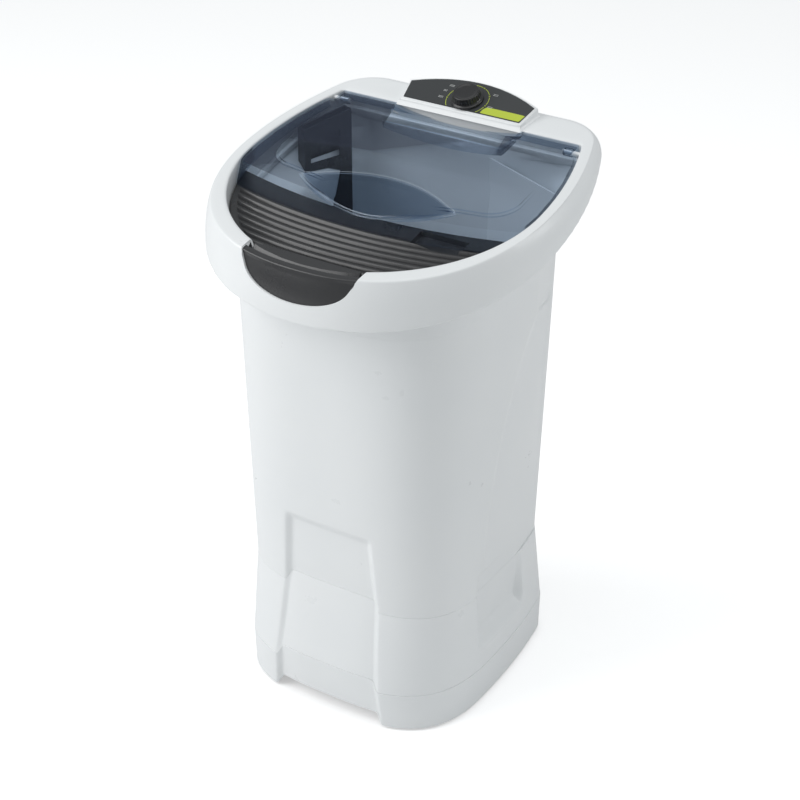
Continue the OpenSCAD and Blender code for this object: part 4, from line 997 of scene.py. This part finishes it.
@dataclass
class Pod:
    """The raised back deck that carries the control panel, and what is printed on the panel."""

    width: float = 180.0
    front_y: float = 152.0
    back_y: float = 204.0
    corner_y: float = 182.0
    flare: float = 6.0
    tilt: float = math.radians(20.5)
    knob_y: float = 171.0
    ring_r: float = 30.0
    ring_ends: tuple[int, int] = (-41, 221)
    mark_angles: tuple[int, ...] = (-8, 30, 68, 112, 150, 188)
    scale_rows: tuple[tuple[int, int], ...] = ((-172, 8), (-8, 9), (30, 8), (150, 9), (168, 7))
    scale_step: float = 1.9
    ink_line: float = 0.8
    section: tuple[tuple[float, float | None, float], ...] = (
        (8.0, None, 2.0), (5.6, None, -1.0), (4.6, None, -2.6), (4.0, 3.0, 0.0), (3.7, 1.4, 0.0),
        (3.0, 0.45, 0.0), (2.0, 0.05, 0.0), (0.6, 0.0, 0.0), (-6.0, 0.0, 0.0),
    )
    ink_lift: float = 1.34

    def plan(self, grow: float) -> list[tuple[float, float]]:
        """The panel's plan, grown all round.

        Args:
            grow: How much larger than the panel.

        Returns:
            The plan's points.
        """
        half = self.width / 2 + grow
        bow = self.back_y - self.corner_y
        line = [(half * (2 * i / 16 - 1), self.front_y - grow) for i in range(17)]
        steps = 40
        for i in range(steps + 1):
            s = 1 - 2 * i / steps
            line.append(((half + self.flare) * s, self.corner_y + grow + bow * (1 - s * s)))
        return line

    def face_z(self, y: float) -> float:
        """Height of the panel's face at y."""
        return rim_z(148) + 7 + math.tan(self.tilt) * (y - self.front_y)

    def block(self) -> bpy.types.Object:
        """The pod, with a rounded upper edge and a slight flare into the deck."""
        rings = []
        for grow, drop, sink in self.section:
            found = []
            for x, y in self.plan(grow):
                deck = rim_z(y) - sink
                found.append((x, y, deck if drop is None else max(self.face_z(y) - drop, deck - 1.0)))
            rings.append(found)
        made = skin("control pod", rings, low=True, high=True)
        shade(made, 40)
        return made

    def on_face(self, x: float, out: float, lift: float) -> Point:
        """A point on the panel's face.

        Args:
            x: Across.
            out: Up the slope from the panel's front edge.
            lift: Off the face.

        Returns:
            The point about the tub's axis.
        """
        z0 = rim_z(148) + 7
        c, s = math.cos(self.tilt), math.sin(self.tilt)
        return (x, self.front_y + out * c - lift * s, z0 + out * s + lift * c)

    def knob_out(self) -> float:
        """Distance up the slope from the front edge to the knob."""
        return (self.knob_y - self.front_y) / math.cos(self.tilt)

    def about_knob(self, radius: float, angle: float) -> tuple[float, float]:
        """A place on the face about the knob: across, and up the slope.

        Args:
            radius: Distance from the knob's middle.
            angle: Degrees, anticlockwise from +X.

        Returns:
            The place.
        """
        turn = math.radians(angle)
        return radius * math.cos(turn), self.knob_out() + radius * math.sin(turn)

    def arc_band(self, start: float, end: float) -> bpy.types.Object:
        """A printed arc of the lime ring.

        Args:
            start: First angle, in degrees, anticlockwise from +X.
            end: Last angle.

        Returns:
            The new object.
        """
        steps = max(6, int(abs(end - start) / 4))
        near, far = self.ring_r - self.ink_line / 2, self.ring_r + self.ink_line / 2
        rings = []
        for r, sunk in ((near, 0.1), (near, 0.0), (far, 0.0), (far, 0.1)):
            angles = [start + (end - start) * i / steps for i in range(steps + 1)]
            rings.append([self.on_face(*self.about_knob(r, a), self.ink_lift - sunk) for a in angles])
        return skin("lime ring arc", rings, closed=False, loop=True)

    def stroke(
        self, name: str, x: float, out: float, length: float, width: float, turn: float
    ) -> bpy.types.Object:
        """A short printed dash.

        Args:
            name: The object's name.
            x: Middle, across.
            out: Middle, up the slope.
            length: Length.
            width: Width.
            turn: Angle in degrees.

        Returns:
            The new object.
        """
        c, s = math.cos(math.radians(turn)), math.sin(math.radians(turn))
        rings = []
        for h in (self.ink_lift - 0.12, self.ink_lift):
            corners = []
            for a, b in ((-1, -1), (1, -1), (1, 1), (-1, 1)):
                u, v = a * length / 2, b * width / 2
                corners.append(self.on_face(x + u * c - v * s, out + u * s + v * c, h))
            rings.append(corners)
        return skin(name, rings, low=True, high=True)

    def print_panel(self) -> None:
        """The lime ring, the dial's marks and the lime patch."""
        marks: list[bpy.types.Object] = []
        limes: list[bpy.types.Object] = []
        start, end = self.ring_ends
        for a, b in zip((start,) + self.mark_angles, self.mark_angles + (end,)):
            limes.append(self.arc_band(a if a == start else a + 5, b if b == end else b - 5))
        for a in self.mark_angles:
            for turn in (45, -45):
                limes.append(self.stroke("lime mark", *self.about_knob(self.ring_r, a), 2.6, 0.8, a + turn))
        for a, length in self.scale_rows:
            x, out = self.about_knob(self.ring_r + 9, a)
            for row in (-1.1, 1.1):
                for bit in range(int(length / self.scale_step)):
                    across = x + (bit * self.scale_step - length / 2) + 0.6
                    marks.append(self.stroke("pale mark", across, out + row, 1.2, 0.75, 0))
        join(limes, "dial ring and marks")
        mount(limes[0], Finish.LIME, "frame", "charcoal")
        join(marks, "dial scale")
        mount(marks[0], Finish.PALE, "frame", "charcoal")
        mount(self.patch(), Finish.LIME, "frame", "charcoal")

    def patch(self) -> bpy.types.Object:
        """The lime patch at the right of the panel's front edge."""
        corners = [
            (30, 1.0), (86, 1.0), (89.6, 1.0), (91.4, 12.0), (92.4, 13.4), (88, 14.2),
            (38, 14.2), (34, 14.2), (30.5, 9), (29.5, 3.5), (30, 1.0),
        ]
        line = rounded(corners, 2)
        rings = [[self.on_face(x, o, h) for x, o in line[:-1]] for h in (1.2, 1.33)]
        return skin("lime patch", rings, low=True, high=True)


def join(things: list[bpy.types.Object], name: str) -> None:
    """Join objects into the first one.

    Args:
        things: The objects.
        name: The joined object's name.
    """
    calm()
    for thing in things:
        thing.select_set(True)
    bpy.context.view_layer.objects.active = things[0]
    bpy.ops.object.join()
    things[0].name = name


@dataclass
class Knob:
    """The timer knob: a fluted grip on a skirt."""

    diameter: float = 45.0
    flutes: int = 30
    flute_depth: float = 0.55
    gap: float = 1.7

    def build(self) -> None:
        """Build and mount the knob."""
        pod = Pod()
        r = self.diameter / 2
        section = rounded([
            (r - 1.6, 0.0), (r - 0.2, 0.1), (r, 1.4), (r - 0.4, 2.8), (r - 1.6, 3.3), (r - 2.6, 4.2),
            (r - 3.2, 8.0), (r - 3.9, 12.0), (r - 4.6, 13.6), (r - 6.4, 14.1), (r - 8.2, 13.6),
            (r - 10.0, 13.1), (6.0, 12.9), (0.4, 12.9),
        ], 2)
        steps = 240
        rings = []
        for radius, height in section:
            fluted = smooth((height - 4.0) / 1.5) * (1 - smooth((height - 12.2) / 1.2))
            fluted *= 1 if radius > 16 else 0
            ring_points = []
            for i in range(steps):
                a = 2 * math.pi * i / steps
                wave = 0.5 + 0.5 * math.cos(self.flutes * a)
                reach = radius - self.flute_depth * fluted * wave**2
                out = pod.knob_out() + reach * math.sin(a)
                ring_points.append(pod.on_face(reach * math.cos(a), out, self.gap + height))
            rings.append(ring_points)
        made = skin("timer knob", rings, low=True, high=True)
        shade(made, 45)
        mount(made, Finish.KNOB, "timer", "black_gloss", "timer_knob")


@dataclass
class Body:
    """The tub, the base housing and the plinth: three smooth shells with their seams."""

    seam: float = 0.1
    roll: float = 0.35
    pocket_low: float = 92.0
    pocket_high: float = 220.0
    pocket_front: float = -74.0
    pocket_back: float = 62.0

    def rise(self, x: float, y: float, z: float) -> float:
        """How far the seam climbs at x, in the middle of the front.

        Args:
            x: Across.
            y: Behind the tub's axis.
            z: The seam's height.

        Returns:
            The rise.
        """
        if y > -100:
            return 0.0
        outer = 92 - 20 * min(z / PANEL_H, 1.0)
        return ARCH * smooth((outer - 2 - abs(x)) / 13)

    def dent(self, p: Point) -> Point:
        """Sink the styled hollow and the hand pocket into the side of the body.

        Args:
            p: A point of the skin.

        Returns:
            The point moved in where it is hollowed.
        """
        x, y, z = p
        if y < -150 or abs(x) < 100 or y > 150:
            return p
        depth = 0.0
        if z > NECK_H:
            reach = math.hypot((y - 140) / 204, (z - NECK_H) / 409)
            depth = 2.5 * smooth((1.0 - reach) / 0.045) * (1 - smooth((y - 105) / 30))
        back = 159 + (z - 116) / 10
        across = smooth((y - self.pocket_front) / 10) * smooth((self.pocket_back - y) / 10)
        foot = smooth((z - self.pocket_low) / 22) ** 0.75
        head = smooth((self.pocket_high - z) / 6)
        depth = max(depth, (abs(x) - back) * across * foot * head)
        return (x - math.copysign(depth, x), y, z)

    def wall(
        self, low: float, high: float, low_seam: bool, high_seam: bool, d: float = 0.0, steps: int = 40
    ) -> list[list[Point]]:
        """Rings of the body's skin between two heights.

        Args:
            low: Lower height.
            high: Upper height.
            low_seam: Whether the lower edge climbs at the front.
            high_seam: Whether the upper edge climbs at the front.
            d: Inset.
            steps: Ring count.

        Returns:
            The rings.
        """
        rings = []
        for i in range(steps + 1):
            u = i / steps
            z = low + (high - low) * u
            found = []
            for x, y in stretch(z).inset(d).plan():
                climb = 0.0
                if low_seam:
                    climb += self.rise(x, y, low) * (1 - u)
                if high_seam:
                    climb += self.rise(x, y, high) * u
                found.append(self.dent((x, y, z + climb)))
            rings.append(found)
        return rings

    def edge(self, source: list[Point], d: float, dz: float) -> list[Point]:
        """A ring moved in by d and up by dz."""
        found = []
        n = len(source)
        for j, (x, y, z) in enumerate(source):
            ax, ay, _ = source[j - 1]
            bx, by, _ = source[(j + 1) % n]
            tx, ty = bx - ax, by - ay
            size = math.hypot(tx, ty) or 1.0
            found.append((x - d * ty / size, y + d * tx / size, z + dz))
        return found

    def tub(self) -> bpy.types.Object:
        """The tub, outside and inside."""
        low = NECK_H + self.seam / 2 + self.roll
        outside = self.wall(low, 226, True, False, steps=26)
        inside_foot = [self.edge(r, WALL, 0.0) for r in reversed(outside[1::2])]
        outside += self.wall(226, 320, False, False, steps=40)[1:]
        outside += self.wall(320, 560, False, False, steps=44)[1:]
        under_floor = [ring(stretch(z).inset(WALL), z) for z in (285, 280, 240)] + inside_foot
        rolls = ((WALL, self.roll), (0.6, self.roll), (0.15, 0.2))
        foot = [self.edge(outside[0], d, -drop) for d, drop in rolls]
        top_z = SKIRT_H - self.seam
        first = outside[-1]
        last = ring(TOP, top_z, math.tan(SKIRT_TILT))
        upper = []
        for i in range(1, 25):
            u = i / 24
            between = [tuple(p[a] * (1 - u) + q[a] * u for a in range(3)) for p, q in zip(first, last)]
            upper.append([self.dent(p) for p in between])
        shoulder = [self.edge(upper[-1], d, rise) for d, rise in ((0.8, 0.35), (3.3, 0.35), (3.3, 5.5))]
        flange = MOUTH.inset(-2)
        funnel = [self.funnel(u, 5.0) for u in (0.2, 0.4, 0.6, 0.8, 1.0)]
        ledge = [
            rim_ring(MOUTH.inset(d), down, True)
            for d, down in ((-2, 10.3), (-2, 0.5), (-1, 0.3), (4, 0.3), (5, 1.3), (5, 5.3))
        ]
        under = [rim_ring(flange.inset(WALL), 12.3, True)]
        inner = [self.funnel(u, 5.0 + WALL) for u in (1.0, 0.8, 0.6, 0.4, 0.2)]
        spigot = TOP.inset(3.3 + WALL)
        inner.append(ring(spigot, SKIRT_H - 8, math.tan(SKIRT_TILT)))
        for z in (600, 560, 500, 440, 380, 340, 324, 314, 306):
            inner.append(ring(stretch(z).inset(WALL + (1.5 if z > 590 else 0)), z))
        for d, z in ((5, 299), (8, 294), (13, 291), (20, 290)):
            inner.append(ring(stretch(z).inset(d), z))
        stack = under_floor + foot + outside + upper + shoulder + funnel + ledge + under + inner
        made = skin("tub shell", stack, low=True, high=True)
        shade(made, 32)
        return made

    def funnel(self, u: float, t: float) -> list[Point]:
        """A ring of the funnel between the skirt and the flange.

        Args:
            u: 0 at the skirt, 1 under the flange.
            t: Inset from the rim's skin.

        Returns:
            The ring.
        """
        low, high, goal = TOP.inset(t).plan(), RIM.inset(t).plan(), MOUTH.inset(-2 + t - 5).plan()
        found = []
        for (lx, ly), (hx, hy), (gx, gy) in zip(low, high, goal):
            ox, oy = hx - lx, hy - ly
            widest = min(max(((gx - lx) * ox + (gy - ly) * oy) / (ox * ox + oy * oy), 0.0), 1.0)
            room = rim_z(hy) - skirt_z(hy)
            drop = LIP_DEPTH - LIP_RISE * min(max((hy + 20) / 168, 0.0), 1.0)
            v = u * (room - drop - 20.3) / room
            k = min(bulge(v, hy), widest)
            x, y = lx + ox * k, ly + oy * k
            found.append((x, y, skirt_z(y) + 1.5 * t + (rim_z(y) - skirt_z(y) - 2.5 * t) * v))
        return found

    def band(self, name: str, low: float, high: float, proud: float = 0.0) -> bpy.types.Object:
        """A shell ring of the base, with rolled edges and a wall.

        Args:
            name: The object's name.
            low: Lower height.
            high: Upper height.
            proud: How far it stands out.

        Returns:
            The new object.
        """
        rings = self.wall(low, high, True, True, -proud, 84 if high - low > 80 else 24)
        rolls = ((0.25, 0.3), (1.0, self.roll), (3.0, self.roll))
        foot = [self.edge(rings[0], d, -drop) for d, drop in reversed(rolls)]
        head = [self.edge(rings[-1], d, rise) for d, rise in rolls]
        inside = [self.edge(r, 3.0, 0.0) for r in reversed(rings[1:-1])]
        return skin(name, foot + rings + head + inside, loop=True)

    def base(self) -> bpy.types.Object:
        """The base housing with its hand pockets and rear opening."""
        gap = self.seam / 2 + self.roll
        solid = self.band("base housing shell", BASE_H + gap, NECK_H - gap)
        back = (BASE.back + NECK.back) / 2
        opening = [(-65, 87), (65, 87), (65, 161), (-65, 161)]
        cut(solid, prism("rear opening", opening, back - 20, back + 20))
        shade(solid, 32)
        return solid

    def plinth(self) -> bpy.types.Object:
        """The plinth with its arch at the front."""
        made = self.band("plinth shell", 4.0, BASE_H - self.seam / 2 - self.roll, 0.5)
        shade(made, 32)
        return made

    def build(self) -> None:
        """Build and mount the three shells."""
        mount(self.tub(), Finish.SHELL, "frame", "white_shell", "wash_tub")
        mount(self.base(), Finish.SHELL, "frame", "white_shell", "base_housing")
        mount(self.plinth(), Finish.SHELL, "frame", "white_shell", "plinth")


# Nodes kept from the frame.


KEPT: dict[Finish, tuple[str, ...]] = {
    Finish.SHELL: ("hinge_pin_left", "hinge_pin_right", "wiring_duct", "rear_cover"),
    Finish.FILM: ("control_panel",),
    Finish.FLOOR_GREY: ("impeller",),
    Finish.GREY: (
        "base_pan", "timer_body", "drain_elbow", "drain_screen", "motor_fan",
        "capacitor_clip", "drain_spigot", "drain_tube", "cord_gland",
    ),
    Finish.RUBBER: (
        "foot_front_left", "foot_front_right", "foot_back_left", "foot_back_right",
        "shaft_seal", "drive_belt",
    ),
    Finish.STEEL: (
        "timer_shaft", "timer_screws", "impeller_shaft", "impeller_screw", "housing_screws", "pulley_nut",
        "motor_shaft", "motor_rotor", "motor_bolts", "motor_plate", "rear_cover_screws", "base_screws",
        "pan_screws", "motor_pulley", "clip_screw",
    ),
    Finish.BRONZE: ("upper_bush", "lower_bush"),
    Finish.PAINT: ("bearing_housing", "motor_case", "motor_end_cap"),
    Finish.ALLOY: ("large_pulley", "capacitor"),
}


def dress_kept() -> None:
    """Put finishes on the nodes that are shown as they are."""
    for finish, names in KEPT.items():
        for name in names:
            dress(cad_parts[name], finish)
            LOG.info("%s: %s", name, finish.value.name)


# Studio.


@dataclass
class Studio:
    """Pale floor, soft light and the photograph's camera."""

    azimuth: float = 32.28
    elevation: float = 30.14
    distance: float = 2705.0
    target: Point = (0.0, 23.5, 408.0)
    focal_px: float = 1954.0
    lamps: tuple[tuple[str, float, float, float, float, float], ...] = (
        ("key", -48, 32, 3.2, 2.4, 58),
        ("top", 20, 82, 3.0, 2.6, 20),
        ("right edge", 118, 25, 3.0, 1.2, 14),
    )

    def direction(self, azimuth: float, elevation: float) -> Vector:
        """Unit vector from the object towards an azimuth and elevation."""
        a, e = math.radians(azimuth), math.radians(elevation)
        return Vector((math.sin(a) * math.cos(e), -math.cos(a) * math.cos(e), math.sin(e)))

    def camera(self) -> None:
        """Set the camera."""
        data = bpy.data.cameras.new("camera")
        data.sensor_width = 36
        data.lens = 36 * self.focal_px / 800
        data.clip_start, data.clip_end = 0.05, 60
        seen = bpy.data.objects.new("camera", data)
        bpy.context.collection.objects.link(seen)
        back = self.direction(self.azimuth, self.elevation)
        seen.location = Vector(self.target) * MM + back * self.distance * MM
        seen.rotation_euler = (-back).to_track_quat("-Z", "Y").to_euler()
        bpy.context.scene.camera = seen

    def lamp(
        self, name: str, azimuth: float, elevation: float, away: float, size: float, power: float
    ) -> None:
        """A soft square lamp that looks at the machine.

        Args:
            name: The lamp's name.
            azimuth: Where it stands, in degrees.
            elevation: Its height, in degrees.
            away: Distance in metres.
            size: Side in metres.
            power: Watts.
        """
        data = bpy.data.lights.new(name, "AREA")
        data.shape = "SQUARE"
        data.size = size
        data.energy = power
        lamp = bpy.data.objects.new(name, data)
        bpy.context.collection.objects.link(lamp)
        back = self.direction(azimuth, elevation)
        lamp.location = Vector((0, 0, 0.45)) + back * away
        lamp.rotation_euler = (-back).to_track_quat("-Z", "Y").to_euler()

    def floor(self) -> None:
        """A pale floor that keeps the shadow."""
        bpy.ops.mesh.primitive_plane_add(size=14, location=(0, 0, -0.0005))
        ground = bpy.context.object
        ground.name = "studio floor"
        g = Graph("studio floor")
        pale = {"Base Color": (0.9, 0.9, 0.9), "Roughness": 0.7}
        shader = g.node("ShaderNodeBsdfPrincipled", {}, pale)
        path = g.node("ShaderNodeLightPath", out="Is Camera Ray")
        glow = g.node("ShaderNodeEmission", {}, {"Color": (1.0, 1.0, 1.0), "Strength": 0.42})
        both = g.node("ShaderNodeAddShader", {}, {0: shader, 1: glow})
        shown = g.node("ShaderNodeMixShader", {}, {0: path, 1: shader, 2: both})
        ground.data.materials.append(g.finish(shown))
        settle(ground)

    def sky(self) -> None:
        """White behind the object, and a softer light on it."""
        world = bpy.data.worlds.new("studio")
        world.use_nodes = True
        bpy.context.scene.world = world
        tree = world.node_tree
        tree.nodes.clear()
        path = tree.nodes.new("ShaderNodeLightPath")
        mixer = tree.nodes.new("ShaderNodeMixShader")
        output = tree.nodes.new("ShaderNodeOutputWorld")
        tree.links.new(path.outputs["Is Camera Ray"], mixer.inputs[0])
        for place, colour, strength in ((1, (0.94, 0.98, 1.0, 1), 0.44), (2, (1, 1, 1, 1), 1.0)):
            part = tree.nodes.new("ShaderNodeBackground")
            part.inputs["Color"].default_value = colour
            part.inputs["Strength"].default_value = strength
            tree.links.new(part.outputs[0], mixer.inputs[place])
        tree.links.new(mixer.outputs[0], output.inputs["Surface"])

    def build(self) -> None:
        """Set up the whole studio."""
        self.sky()
        self.floor()
        for lamp in self.lamps:
            self.lamp(*lamp)
        self.camera()
        bpy.context.scene.view_settings.view_transform = "Standard"


def main() -> None:
    """Build the machine, dress it and set the studio."""
    logging.basicConfig(level=logging.INFO, format="%(message)s")
    dress_kept()
    Rim().build()
    Body().build()
    Pod().print_panel()
    Knob().build()
    mount(softened("lid", "clear lid", 0.5), Finish.LID, "lid", "clear_lid", "lid")
    for node, name in (("washboard", "ribbed washboard"), ("lint_filter", "lint cassette")):
        mount(softened(node, name, 0.6), Finish.DECK, "frame", "black_gloss", node)
    Studio().build()
    calm()


if __name__ == "__main__":
    main()
